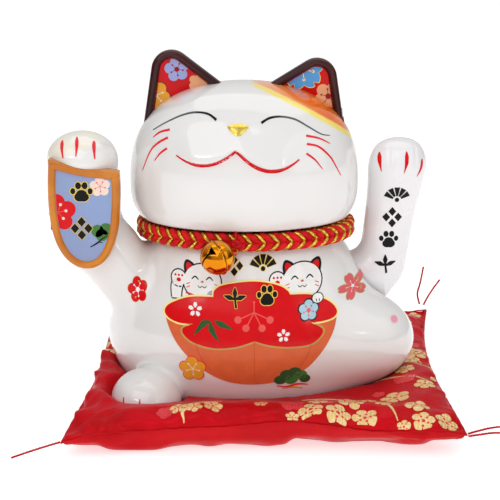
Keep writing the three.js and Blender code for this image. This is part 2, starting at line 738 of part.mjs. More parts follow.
const TASSELS = {
  tassel_front_left: [[-142.5, -134, 11.4], [-152, -138, 9.8], [-163, -143, 7.8], [-175, -148, 5.2]],
  tassel_front_right_1: [[142.6, -134, 17.6], [150, -133, 19.4], [160, -131.5, 21.2], [174, -130, 22.2]],
  tassel_front_right_2: [[142.6, -136.2, 16.6], [151, -137, 18.2], [161, -138, 19.8], [174, -139.5, 19.4]],
  tassel_back_right_1: [[135.5, 131.6, 36], [133.6, 132.2, 45], [136, 133.5, 55], [138.4, 135, 68]],
  tassel_back_right_2: [[139.4, 134.6, 34.5], [143, 139.5, 39.5], [149, 147, 46], [155, 155, 51]],
  tassel_back_left: [[-142.5, 134, 26], [-151, 139, 22.5], [-161, 145, 16.5], [-170, 150, 9.5]],
};
for (const [name, route] of Object.entries(TASSELS)) {
  addTo(part, name, tube(route, THREAD_R, 8, 10), "thread");
}

export default part;
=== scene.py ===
import math
import random

import bmesh
import bpy
import numpy as np
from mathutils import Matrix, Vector
from mathutils.bvhtree import BVHTree
from mathutils.geometry import delaunay_2d_cdt


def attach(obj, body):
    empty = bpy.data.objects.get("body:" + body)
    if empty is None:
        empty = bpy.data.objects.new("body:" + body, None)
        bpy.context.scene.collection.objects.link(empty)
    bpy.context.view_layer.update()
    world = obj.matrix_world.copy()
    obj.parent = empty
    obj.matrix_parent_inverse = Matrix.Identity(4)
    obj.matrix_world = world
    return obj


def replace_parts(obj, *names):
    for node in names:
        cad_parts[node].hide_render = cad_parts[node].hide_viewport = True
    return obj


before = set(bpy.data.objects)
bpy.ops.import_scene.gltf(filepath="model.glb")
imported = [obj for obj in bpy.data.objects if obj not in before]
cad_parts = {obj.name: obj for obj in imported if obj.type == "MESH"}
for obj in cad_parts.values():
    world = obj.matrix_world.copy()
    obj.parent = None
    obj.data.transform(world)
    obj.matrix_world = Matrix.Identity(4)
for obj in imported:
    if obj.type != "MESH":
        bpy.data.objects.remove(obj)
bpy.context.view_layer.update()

# Lengths below are in millimetres in the cat's own frame: its axis is at x = 0 and its base at z = 0.
# place() takes them to the row frame, in metres.
MM = 0.001
CAT_AT = np.array([-13.0, 0.0, 15.0])


# ---------------------------------------------------------------- form of the ceramic
WALL = 5
DEPTH = 0.75  # the torso's depth as a share of its width
HEAD = {"at": (-1, -2, 157), "a": 86.2, "b": 66, "up": 74.5, "down": 47, "pow_up": 2.4, "pow_down": 2.65}
FLOOR_TOP = 9.5
BASE_HOLE_R = 56
RECESS = {"r": 61.5, "depth": 6}
ROPE = {"rx": 76.5, "ry": 58, "z": 122, "r": 8.2}
PIVOT = {"y": 5, "z": 82}  # the waving arm's axle
ARM_BORE = {"end_x": 60, "r": 20.4, "from_x": 74, "widens": 0.14, "least": 19.5, "most": 23.6}
ARM_END_X = {"wall": 76, "open": 74}
LUMPS = [  # haunch, foot and tail: middle, radii, and how softly each joins the body
    ((78, -18, 38), (50, 38, 37.5), 14),
    ((-73, -68, 6), (26, 29.5, 22), 6),
    ((0, 72, 25), (14, 16, 14), 8),
]
SHOULDER = ((-103, -22, 107), (-77, -18, 72.5), 24.5)
FOREARM = ((-119.5, -22, 169), (-116, -22, 118), 24.5)
PAW = ((-120, -30, 178), (26.2, 25.5, 20.8))
TORSO_SIDE = [(90, 0), (98.5, 14), (106, 38), (104, 58), (95, 79), (82, 99), (68, 121), (64, 134)]
ARM_LINE = [
    (63.5, 103, 0.5), (66, 103, 10), (72, 103, 16), (82, 103, 18.5), (100, 106, 18.3),
    (130, 110, 19), (150, 113, 20.5), (168, 115, 22), (180, 115.5, 18), (186, 116, 10.5), (188, 116, 0.5),
]


def smooth_curve(points, steps=12):
    """A curve through the points, as steps pieces between each two."""
    p = np.array(points, float)
    p = np.vstack([p[:1], p, p[-1:]])
    t = np.linspace(0, 1, steps, endpoint=False)[:, None]
    pieces = []
    for a, b, c, d in zip(p, p[1:], p[2:], p[3:]):
        v, w = (c - a) / 2, (d - b) / 2
        pieces.append((2 * b - 2 * c + v + w) * t**3 + (-3 * b + 3 * c - 2 * v - w) * t**2 + v * t + b)
    return np.vstack([*pieces, p[-1:]])


def join_smooth(a, b, k):
    """The union of two forms, rounded over k where they meet."""
    h = np.maximum(k - np.abs(a - b), 0) / k
    return np.minimum(a, b) - h * h * k / 4


def cut_smooth(a, b, k):
    """The first form with the second one cut away, its rim rounded over k."""
    return -join_smooth(-a, b, k)


def around(steps):
    """Angles of a full turn, the last one left out."""
    return np.linspace(0, 2 * math.pi, steps, endpoint=False)


def normalised(rows):
    """Each row at length 1."""
    return rows / np.linalg.norm(rows, axis=1)[:, None]


def polar(centre, r, degrees):
    """The flat point at distance r and an angle from centre."""
    a = math.radians(degrees)
    return centre[0] + r * math.cos(a), centre[1] + r * math.sin(a)


def fade(value, low, high):
    """0 below low and 1 above high, smooth in between."""
    t = np.clip((value - low) / (high - low), 0, 1)
    return t * t * (3 - 2 * t)


def ellipsoid(x, y, z, centre, radii):
    """About how far a point is outside an ellipsoid."""
    q = [x - centre[0], y - centre[1], z - centre[2]]
    k0 = np.sqrt(sum((c / r) ** 2 for c, r in zip(q, radii)))
    k1 = np.sqrt(sum((c / r**2) ** 2 for c, r in zip(q, radii)))
    return k0 * (k0 - 1) / np.maximum(k1, 1e-9)


def bar(x, y, z, start, end, r):
    """A round-ended bar."""
    along = [b - a for a, b in zip(start, end)]
    size = sum(c * c for c in along)
    q = [x - start[0], y - start[1], z - start[2]]
    t = np.clip(sum(a * b for a, b in zip(q, along)) / size, 0, 1)
    return np.sqrt(sum((a - b * t) ** 2 for a, b in zip(q, along))) - r


SIDE_CURVE = smooth_curve(TORSO_SIDE, 20)
SIDE_SLOPE = np.gradient(SIDE_CURVE[:, 0], SIDE_CURVE[:, 1])


def torso(x, y, z):
    """The body below the neck: TORSO_SIDE turned round and made shallower."""
    radius = np.interp(z, SIDE_CURVE[:, 1], SIDE_CURVE[:, 0])
    slope = np.interp(z, SIDE_CURVE[:, 1], SIDE_SLOPE)
    across = np.hypot(x, y / DEPTH)
    steep = np.hypot(x, y / DEPTH**2) / np.maximum(across, 1e-6)
    return np.maximum((across - radius) / np.hypot(steep, slope), z - TORSO_SIDE[-1][1])


def head(x, y, z):
    """The head: a super-ellipsoid, fuller below its widest level than above."""
    q = [x - HEAD["at"][0], y - HEAD["at"][1], z - HEAD["at"][2]]
    across = np.hypot(q[0] / HEAD["a"], q[1] / HEAD["b"])
    upper, lower = (
        (across**power + np.abs(q[2] / high) ** power) ** (1 / power)
        for high, power in ((HEAD["up"], HEAD["pow_up"]), (HEAD["down"], HEAD["pow_down"]))
    )
    f = np.maximum(np.where(q[2] > 0, upper, lower), 1e-6)
    return (f - 1) * np.sqrt(q[0] ** 2 + q[1] ** 2 + q[2] ** 2) / f


# The line of the smile: two arcs that meet under the nose. The lip above it stands a little proud.
MOUTH = [(-49.7, 185.4), (-6.6, 190.6), (38.7, 183.3)]
SAG = [8.2, 10.6]
LIP = 2.6


def mouth_line(x):
    """The height of the smile at x."""
    halves = []
    for (x0, z0), (x1, z1), sag in zip(MOUTH, MOUTH[1:], SAG):
        t = (x - x0) / (x1 - x0)
        halves.append(z0 + t * (z1 - z0) - sag * (1 - (2 * t - 1) ** 2))
    return np.where(x < MOUTH[1][0], *halves)


def lip(x, y, z):
    """How far the upper lip stands proud of the face."""
    above = z - mouth_line(x)
    sides = fade(x, MOUTH[0][0] - 2, MOUTH[0][0] + 14) * fade(-x, -MOUTH[2][0] - 2, -MOUTH[2][0] + 14)
    return LIP * fade(above, -0.7, 0.9) * (1 - fade(above, 3, 24)) * sides * (y < -20)


def outside(x, y, z):
    """The glazed surface, without the ears and the plaque."""
    d = join_smooth(torso(x, y, z), head(x, y, z) - lip(x, y, z), 3)
    for middle, radii, blend in LUMPS:
        d = join_smooth(d, ellipsoid(x, y, z, middle, radii), blend)
    d = join_smooth(d, bar(x, y, z, *SHOULDER), 10)
    arm = join_smooth(bar(x, y, z, *FOREARM), ellipsoid(x, y, z, *PAW), 6)
    return join_smooth(d, arm, 8)


def rope_ring(x, y, z, r):
    """A ring of radius r round the rope's oval centre line."""
    across = np.maximum(np.hypot(x / ROPE["rx"], y / ROPE["ry"]), 1e-6)
    steep = np.hypot(x / ROPE["rx"] ** 2, y / ROPE["ry"] ** 2) / across
    return np.hypot((across - 1) / np.maximum(steep, 1e-6), z - ROPE["z"]) - r


def ceramic(x, y, z):
    """The fired body: outside, rope groove, arm bore, hollow and base opening."""
    d = cut_smooth(outside(x, y, z), rope_ring(x, y, z, ROPE["r"] + 0.5), 1.5)
    d = cut_smooth(d, z, 3)
    reach = ARM_BORE["r"] + ARM_BORE["widens"] * (x - ARM_BORE["from_x"])
    sweep = np.clip(reach, ARM_BORE["least"], ARM_BORE["most"])
    d = cut_smooth(d, np.maximum(np.hypot(y - PIVOT["y"], z - PIVOT["z"]) - sweep, ARM_BORE["end_x"] - x),
                   1.5)
    hollow = np.maximum(np.minimum(torso(x, y, z), head(x, y, z)) + WALL, FLOOR_TOP - z)
    round_out = np.hypot(x, y)
    opening = np.minimum(
        np.maximum(round_out - BASE_HOLE_R, z - FLOOR_TOP - 3),
        np.maximum(round_out - RECESS["r"], z - RECESS["depth"]),
    )
    return np.maximum(d, -np.minimum(hollow, opening))


ARM_CURVE = smooth_curve(ARM_LINE, 12)
ARM_SLOPE = np.gradient(ARM_CURVE[:, 2], ARM_CURVE[:, 0])
NECK_R = 17
ARM_WALL = 1.8


def arm_outside(x, y, z):
    """The waving arm's outer surface, with the neck that enters the body."""
    centre, radius, slope = (
        np.interp(z, ARM_CURVE[:, 0], column) for column in (ARM_CURVE[:, 1], ARM_CURVE[:, 2], ARM_SLOPE)
    )
    across = np.hypot(x - centre, (y - PIVOT["y"]) / 0.9)
    form = np.maximum((across - radius) / np.sqrt(1 + slope**2),
                      np.maximum(z - ARM_LINE[-1][0], ARM_LINE[0][0] - z))
    form = cut_smooth(form, 0.749 * (z - 79.5) - 0.662 * (x - 122), 7)  # the rounded elbow
    neck = np.maximum(np.hypot(y - PIVOT["y"], z - PIVOT["z"]) - NECK_R, x - ARM_LINE[0][1])
    toe_lines = sum(  # two faint grooves between the toes
        0.55 * np.exp(-(((x - at) / 1.1) ** 2)) * fade(z, 166, 172) * fade(-z, -186, -178) * (y < -4)
        for at in (107.5, 127)
    )
    return join_smooth(form, neck, 13) + toe_lines


def arm_shell(x, y, z):
    """The waving arm's hollow shell, open where it enters the body."""
    d = arm_outside(x, y, z)
    inner = arm_outside(np.maximum(x, ARM_END_X["wall"]), y, z) + ARM_WALL
    return np.maximum(np.maximum(d, -inner), ARM_END_X["open"] - x)


def place(points):
    """From the cat's frame in millimetres to the row frame in metres."""
    return (np.asarray(points, float) + CAT_AT) * MM


# ---------------------------------------------------------------- mesh tools
def in_scene(name, data):
    """A new object, linked into the scene."""
    made = bpy.data.objects.new(name, data)
    bpy.context.scene.collection.objects.link(made)
    return made


def aim(thing, at, way):
    """Puts a camera or light at a point, facing along a direction."""
    thing.location = at
    thing.rotation_mode = "QUATERNION"
    thing.rotation_quaternion = Vector(way).to_track_quat("-Z", "Y")


def new_object(name, vertices, faces, looks, body):
    """A mesh piece that rides on a CAD body. Vertices are in metres, in the row frame."""
    mesh = bpy.data.meshes.new(name)
    mesh.from_pydata([tuple(v) for v in vertices], [], [tuple(f) for f in faces])
    mesh.update()
    mesh.polygons.foreach_set("use_smooth", [True] * len(mesh.polygons))
    for look in looks:
        mesh.materials.append(M[look])
    piece = in_scene(name, mesh)
    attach(piece, body)
    return piece


def gradient(field, p, step=0.2):
    """The slope of a field at the points p."""
    sides = []
    for axis in range(3):
        move = np.zeros(3)
        move[axis] = step
        ahead, behind = p + move, p - move
        sides.append((field(*ahead.T) - field(*behind.T)) / (2 * step))
    return np.stack(sides, 1)


def surface_net(field, low, high, step):
    """The surface where field is zero, as points and quads, with its faces pointing out."""
    axes = [np.arange(a, b + step, step) for a, b in zip(low, high)]
    value = field(*np.meshgrid(*axes, indexing="ij"))
    inside = value < 0
    corners = [(i, j, k) for i in (0, 1) for j in (0, 1) for k in (0, 1)]

    def shifted(array, corner):
        """The array seen from one corner of each cell."""
        return array[tuple(slice(c, n - 1 + c) for c, n in zip(corner, array.shape))]

    count = sum(shifted(inside, corner).astype(np.int8) for corner in corners)
    active = (count > 0) & (count < 8)
    number = np.full(active.shape, -1)
    number[active] = np.arange(active.sum())
    total = np.zeros((active.sum(), 3))
    crossings = np.zeros(active.sum())
    for corner in corners:
        for axis in range(3):
            if corner[axis]:
                continue
            far = tuple(c + (i == axis) for i, c in enumerate(corner))
            a, b = shifted(value, corner)[active], shifted(value, far)[active]
            crossed = (a < 0) != (b < 0)
            t = np.where(crossed, a / np.where(crossed, a - b, 1), 0)
            at = np.repeat(np.array(corner, float)[None], len(t), 0)
            at[:, axis] += t
            total += at * crossed[:, None]
            crossings += crossed
    cells = np.argwhere(active)
    points = np.array(low) + (cells + total / crossings[:, None]) * step
    faces = []
    for axis in range(3):  # one quad across each grid edge that the surface crosses
        u, v = (axis + 1) % 3, (axis + 2) % 3
        start = np.moveaxis(inside, axis, 0)[:-1]
        end = np.moveaxis(inside, axis, 0)[1:]
        changed = np.moveaxis(start != end, 0, axis)
        where = np.argwhere(changed)
        where = where[(where[:, u] > 0) & (where[:, v] > 0)]
        where = where[(where[:, u] < inside.shape[u] - 1) & (where[:, v] < inside.shape[v] - 1)]
        corner_cells = []
        for du, dv in ((-1, -1), (0, -1), (0, 0), (-1, 0)):
            cell = where.copy()
            cell[:, u] += du
            cell[:, v] += dv
            corner_cells.append(number[tuple(cell.T)])
        quads = np.stack(corner_cells, 1)
        outward = inside[tuple(where.T)]
        quads[~outward] = quads[~outward][:, ::-1]
        faces.append(quads)
    faces = np.vstack(faces)
    for _ in range(3):  # moves the points onto the surface
        slope = gradient(field, points)
        size = np.maximum((slope**2).sum(1), 0.05)
        move = -(field(*points.T) / size)[:, None] * slope
        points += np.clip(move, -step / 2, step / 2)
    return points, faces


def on_front(field):
    """Puts flat (x, z) points on the front of a form, as points and normals in the cat's frame."""

    def put(flat):
        x, z = flat[:, 0], flat[:, 1]
        y = np.full(len(flat), -130.0)  # in front of everything; each point walks in to the surface
        for _ in range(90):
            y += np.clip(field(x, y, z) * 0.75, -2, 12)
        y = np.minimum(y, 20)
        at = np.stack([x, y, z], 1)
        return at, normalised(gradient(field, at, 0.5))

    return put


def on_plane(y):
    """Puts flat (x, z) points on the plane at y."""
    def put(flat):
        at = np.stack([flat[:, 0], np.full(len(flat), y), flat[:, 1]], 1)
        return at, np.tile([0.0, -1.0, 0.0], (len(flat), 1))

    return put


def inside_outline(points, outline):
    """Which of the points lie inside a closed outline."""
    x, y = points[:, 0][:, None], points[:, 1][:, None]
    a, b = outline, np.roll(outline, -1, 0)
    crosses = (a[:, 1] > y) != (b[:, 1] > y)
    rise = np.where(b[:, 1] == a[:, 1], 1e-9, b[:, 1] - a[:, 1])
    return (crosses & (x < (b[:, 0] - a[:, 0]) * (y - a[:, 1]) / rise + a[:, 0])).sum(1) % 2 == 1


def distance_to_outline(points, outline):
    """How far each point is from the outline."""
    a, b = outline, np.roll(outline, -1, 0)
    along = b - a
    size = np.maximum((along**2).sum(1), 1e-12)
    q = points[:, None] - a
    t = np.clip((q * along).sum(2) / size, 0, 1)
    return np.sqrt(((q - along * t[..., None]) ** 2).sum(2)).min(1)


def evenly(outline, spacing):
    """The same outline with its points about spacing apart, its own points kept."""
    points = []
    for a, b in zip(outline, np.roll(outline, -1, 0)):
        parts = max(1, math.ceil(np.linalg.norm(b - a) / spacing))
        points += [a + (b - a) * i / parts for i in range(parts)]
    return np.array(points)


DECAL_ROOT = 0.12  # how far a decal's underside sits in the glaze


class Paint:
    """A thin fired decal: closed shapes that follow a surface, in layers, as one mesh piece."""

    def __init__(self, put, spacing=2.5, step=0.05, first=0.1):
        self.put, self.spacing, self.step, self.first = put, spacing, step, first
        self.points, self.faces, self.kinds, self.looks = [], [], [], []
        self.count = 0
        self.warp = None

    def add(self, outline, look, layer=0, dome=0.0):
        """Fills an outline with a look, domed by dome mm if asked."""
        outline = np.array(outline, float)
        if self.warp is not None:
            outline = self.warp(outline)
        if len(outline) < 3:
            return
        outline = evenly(outline, self.spacing)
        keep = np.linalg.norm(outline - np.roll(outline, 1, 0), axis=1) > 1e-3
        outline = outline[keep]
        low, high = outline.min(0), outline.max(0)
        size = min(self.spacing, max(0.35, (high - low).min() / 4))
        grid = np.stack(np.meshgrid(*[np.arange(a, b, size) for a, b in zip(low, high)]), -1).reshape(-1, 2)
        if len(grid):
            grid = grid[inside_outline(grid, outline)]
        if len(grid):
            grid = grid[distance_to_outline(grid, outline) > size * 0.45]
        flat = [Vector(p) for p in np.vstack([outline, grid])]
        edges = [(i, (i + 1) % len(outline)) for i in range(len(outline))]
        found, _, triangles, *_ = delaunay_2d_cdt(flat, edges, [], 1, 1e-5)
        found = np.array([tuple(p) for p in found])
        triangles = [t for t in triangles if len(t) == 3]
        if not triangles:
            return
        at, normal = self.put(found)
        lift = self.first + self.step * layer
        rise = lift + dome * fade(distance_to_outline(found, outline), -1.2, 3.0) if dome else lift
        top = at + normal * (rise[:, None] if dome else rise)
        bottom = at - normal * DECAL_ROOT
        a, b, c = (top[[t[i] for t in triangles]] for i in range(3))
        facing = (np.cross(b - a, c - a) * normal[[t[0] for t in triangles]]).sum(1) > 0
        triangles = [t if up else t[::-1] for t, up in zip(triangles, facing)]
        n, base = len(found), self.count
        directed = {(t[i], t[(i + 1) % 3]) for t in triangles for i in range(3)}
        rim = [(i, j) for i, j in directed if (j, i) not in directed]
        faces = [[base + i for i in t] for t in triangles]
        faces += [[base + n + i for i in t[::-1]] for t in triangles]
        faces += [[base + j, base + i, base + n + i, base + n + j] for i, j in rim]
        if look not in self.looks:
            self.looks.append(look)
        self.points += [top, bottom]
        self.faces += faces
        self.kinds += [self.looks.index(look)] * len(faces)
        self.count += 2 * n

    def brush(self, points, widths, look, layer=0, steps=8):
        """Paints one brush stroke."""
        self.add(stroke(points, widths, steps), look, layer)

    def piece(self, name, body="figurine", slot="glazed_porcelain", to_frame=place):
        """Makes the decals one piece."""
        made = new_object(name, to_frame(np.vstack(self.points)), self.faces, self.looks, body)
        made.data.polygons.foreach_set("material_index", self.kinds)
        made.data.set_sharp_from_angle(angle=math.radians(40))


def clipped(outline, window):
    """The part of the outline inside a convex window."""
    turn = 1 if winding(window) > 0 else -1
    for a, b in zip(window, np.roll(window, -1, 0)):
        side = turn * ((b[0] - a[0]) * (outline[:, 1] - a[1]) - (b[1] - a[1]) * (outline[:, 0] - a[0]))
        kept = []
        for p, q, at, then in zip(outline, np.roll(outline, -1, 0), side, np.roll(side, -1)):
            if at >= 0:
                kept.append(p)
            if (at >= 0) != (then >= 0):
                kept.append(p + (q - p) * at / (at - then))
        if len(kept) < 3:
            return np.zeros((0, 2))
        outline = np.array(kept)
    return outline


def winding(outline):
    """Positive when the outline runs anticlockwise."""
    x, z = outline[:, 0], outline[:, 1]
    return float((x * np.roll(z, -1) - z * np.roll(x, -1)).sum())


def stroke(points, widths, steps=8):
    """The outline of a brush stroke along a smooth line, its width given along it."""
    line = smooth_curve(points, steps)
    along = normalised(np.gradient(line, axis=0))
    side = np.stack([-along[:, 1], along[:, 0]], 1)
    t = np.linspace(0, 1, len(line))
    half = np.interp(t, np.linspace(0, 1, len(widths)), widths)[:, None] / 2
    return np.vstack([line + side * half, (line - side * half)[::-1]])


def petals(centre, r, count=5, turn=90.0, depth=0.3, squash=1.0, power=0.7, notch=0.0, steps=16):
    """A flower's outline: count round petals, the first one at turn degrees."""
    angle = around(count * steps)
    phase = count * (angle - math.radians(turn)) / 2
    wave = np.abs(np.cos(phase)) ** power
    reach = r * (1 - depth + depth * wave)
    if notch:
        reach -= r * notch * np.exp(-((np.sin(phase) / 0.16) ** 2)) * (wave > 0.5)
    return np.stack([centre[0] + reach * np.cos(angle), centre[1] + squash * reach * np.sin(angle)], 1)


def disc(centre, r, squash=1.0, steps=18):
    """A round outline, squashed upright if asked."""
    angle = around(steps)
    return np.stack([centre[0] + r * np.cos(angle), centre[1] + squash * r * np.sin(angle)], 1)


def turned_by(outline, centre, degrees):
    """The outline turned about centre."""
    c, s = math.cos(math.radians(degrees)), math.sin(math.radians(degrees))
    q = np.asarray(outline, float) - centre
    return np.stack([q[:, 0] * c - q[:, 1] * s, q[:, 0] * s + q[:, 1] * c], 1) + centre


def loft(rings, capped=True):
    """Quads between closed rings of points, each ring the same length, with its ends closed if capped."""
    n = len(rings[0])
    points = np.vstack(rings)
    faces = []
    for r in range(len(rings) - 1):
        for i in range(n):
            j = (i + 1) % n
            faces.append((r * n + i, r * n + j, (r + 1) * n + j, (r + 1) * n + i))
    if capped:
        faces.append(tuple(range(n))[::-1])
        faces.append(tuple(range((len(rings) - 1) * n, len(rings) * n)))
    return points, faces


def frames_along(line):
    """A direction and two steady side directions at each point of a line."""
    along = normalised(np.gradient(line, axis=0))
    start = np.cross(along[0], [0.3, 0.2, 1.0])
    side = [start / np.linalg.norm(start)]
    for direction in along[1:]:
        s = side[-1] - direction * (side[-1] @ direction)
        side.append(s / np.linalg.norm(s))
    side = np.array(side)
    return along, side, np.cross(along, side)


def tube(line, radii, sides=8):
    """A round tube along a line, its radius given at each point."""
    _, side, up = frames_along(line)
    angle = around(sides)
    rings = [
        at + r * (np.cos(angle)[:, None] * s + np.sin(angle)[:, None] * u)
        for at, r, s, u in zip(line, np.broadcast_to(radii, len(line)), side, up)
    ]
    return loft(rings)


def twisted(line, r, strands, pitch, sides=7, taper=0.0):
    """Several strands twisted round a line, overall radius r."""
    _, side, up = frames_along(line)
    run = np.concatenate([[0], np.cumsum(np.linalg.norm(np.diff(line, axis=0), axis=1))])
    shapes = []
    thin = 1 - taper * run / run[-1]
    for strand in range(strands):
        phase = 2 * math.pi * (run / pitch + strand / strands)
        offset = (r * 0.5 * thin)[:, None] * (np.cos(phase)[:, None] * side + np.sin(phase)[:, None] * up)
        shapes.append(tube(line + offset, r * 0.5 * thin, sides))
    return merged(shapes)


def merged(shapes):
    """Several (points, faces) shapes as one."""
    points, faces, base = [], [], 0
    for shape_points, shape_faces in shapes:
        points.append(shape_points)
        faces += [tuple(base + i for i in f) for f in shape_faces]
        base += len(shape_points)
    return np.vstack(points), faces


# ---------------------------------------------------------------- camera, floor and light
# The photograph's view: level with the front, 14 degrees above, from about 1.2 m.
VIEW = {"target": (-0.0097, 0, 0.1165), "distance": 1.2217, "elevation": 14, "lens": 115}
FLOOR_REACH = 6
LIGHTS_FACE = (0, 0, 0.12)
LIGHTS = [  # name, place, size and power
    ("key", (-0.6, -1.2, 1.35), (1.9, 1.3), 9),
    ("fill", (1.4, -0.9, 0.8), (1.2, 1.3), 3.5),
    ("top", (0.1, 0.35, 1.6), (1.8, 1.0), 5.5),
    ("spark_left", (-0.75, -1.0, 0.75), (0.28, 0.09), 0.55),
    ("spark_right", (0.9, -1.0, 0.55), (0.1, 0.3), 0.45),
]


def make_camera():
    """The camera of the photograph."""
    camera = in_scene("camera", bpy.data.cameras.new("camera"))
    angle = math.radians(VIEW["elevation"])
    back = Vector((0, -math.cos(angle), math.sin(angle)))
    aim(camera, Vector(VIEW["target"]) + back * VIEW["distance"], -back)
    camera.data.lens = VIEW["lens"]
    camera.data.sensor_width = 36
    camera.data.clip_start, camera.data.clip_end = 0.01, 50
    bpy.context.scene.camera = camera


def area_light(name, at, size, power):
    """A soft rectangular light that faces the cat's middle."""
    data = bpy.data.lights.new(name, "AREA")
    data.shape = "RECTANGLE"
    data.size, data.size_y = size
    data.energy = power
    aim(in_scene(name, data), at, Vector(LIGHTS_FACE) - Vector(at))


def make_studio():
    """A plain pale floor, a soft surround and five area lights."""
    floor = bpy.data.meshes.new("floor")
    corners = [(x * FLOOR_REACH, y * FLOOR_REACH, 0) for x, y in ((-1, -1), (1, -1), (1, 1), (-1, 1))]
    floor.from_pydata(corners, [], [(0, 1, 2, 3)])
    paper = finish("floor_paper", (0.72, 0.72, 0.72), 0.9, tint=(0.7, 0.7, 0.7))
    shader = next(n for n in paper.node_tree.nodes if n.type == "BSDF_PRINCIPLED")
    shader.inputs["Emission Color"].default_value = (1, 1, 1, 1)
    shader.inputs["Emission Strength"].default_value = 0.62
    floor.materials.append(paper)
    in_scene("floor", floor)
    world = bpy.data.worlds.new("studio")
    world.use_nodes = True
    tree = world.node_tree
    way = node(tree, "ShaderNodeSeparateXYZ", {0: node(tree, "ShaderNodeTexCoord").outputs["Generated"]})
    aside = steps_between(tree, math_node(tree, "ABSOLUTE", way.outputs[0]), 0.35, 0.95, 1, 0.12)
    above = steps_between(tree, way.outputs[2], 0.0, 0.8, 0, 1)
    level = math_node(tree, "MAXIMUM", aside, above)
    background = tree.nodes["Background"]
    background.inputs["Color"].default_value = (1, 1, 1, 1)
    tree.links.new(math_node(tree, "MULTIPLY", level, 0.6), background.inputs["Strength"])
    bpy.context.scene.world = world
    for light in LIGHTS:
        area_light(*light)
    bpy.context.scene.view_settings.view_transform = "Standard"


# ---------------------------------------------------------------- materials
def node(tree, kind, inputs=None, **settings):
    """A new node; its inputs are values or the sockets that feed them."""
    made = tree.nodes.new(kind)
    for key, value in settings.items():
        setattr(made, key, value)
    for key, value in (inputs or {}).items():
        if isinstance(value, bpy.types.NodeSocket):
            tree.links.new(value, made.inputs[key])
        else:
            made.inputs[key].default_value = value
    return made


def math_node(tree, operation, *values):
    """The result of one arithmetic node."""
    return node(tree, "ShaderNodeMath", dict(enumerate(values)), operation=operation).outputs[0]


def times(tree, a, b):
    """The product of two node values."""
    return math_node(tree, "MULTIPLY", a, b)


def mix(tree, factor, a, b):
    """A colour between a and b."""
    made = node(tree, "ShaderNodeMix", data_type="RGBA")
    for socket, value in zip((made.inputs[0], made.inputs[6], made.inputs[7]), (factor, a, b)):
        if isinstance(value, bpy.types.NodeSocket):
            tree.links.new(value, socket)
        elif socket is made.inputs[0]:
            socket.default_value = value
        else:
            socket.default_value = (*value[:3], 1)
    return made.outputs[2]


def noise(tree, where, scale, detail=3.0):
    """Smooth noise from 0 to 1."""
    return node(tree, "ShaderNodeTexNoise", {"Vector": where, "Scale": scale, "Detail": detail}).outputs[0]


def steps_between(tree, value, low, high, to_low=0.0, to_high=1.0):
    """A value eased from to_low at low to to_high at high."""
    inputs = {0: value, 1: low, 2: high, 3: to_low, 4: to_high}
    return node(tree, "ShaderNodeMapRange", inputs, interpolation_type="SMOOTHSTEP").outputs[0]


def finish(name, color, rough, metal=0.0, tint=None, tint_scale=60, rough_vary=0.06, bump=0.03, grain=500,
           paint=None, height=None, **sockets):
    """A material whose colour drifts from color to tint, with a fine grain; other sockets are constant."""
    made = bpy.data.materials.new(name)
    made.use_nodes = True
    tree = made.node_tree
    shader = tree.nodes["Principled BSDF"]
    where = node(tree, "ShaderNodeTexCoord").outputs["Object"]
    drift = steps_between(tree, noise(tree, where, tint_scale), 0.35, 0.65)
    colored = mix(tree, drift, color, tint or tuple(c * 0.93 for c in color))
    if paint:
        colored = paint(tree, where, colored)
    tree.links.new(colored, shader.inputs["Base Color"])
    least, most = max(rough - rough_vary, 0.02), rough + rough_vary
    rough_at = steps_between(tree, noise(tree, where, tint_scale * 3), 0.3, 0.7, least, most)
    tree.links.new(rough_at, shader.inputs["Roughness"])
    shader.inputs["Metallic"].default_value = metal
    relief = height(tree, where) if height else noise(tree, where, grain)
    bumped = node(tree, "ShaderNodeBump", {"Strength": bump, "Distance": 0.0005, "Height": relief})
    tree.links.new(bumped.outputs[0], shader.inputs["Normal"])
    for key, value in sockets.items():
        shader.inputs[key.replace("_", " ")].default_value = value
    return made


def plane_distance(tree, where, direction, offset):
    """How far a point is above a plane, in metres."""
    dot = node(tree, "ShaderNodeVectorMath", {0: where, 1: direction}, operation="DOT_PRODUCT")
    return math_node(tree, "SUBTRACT", dot.outputs["Value"], offset)


def unit(direction):
    """The direction at length 1."""
    return tuple(np.array(direction, float) / np.linalg.norm(direction))


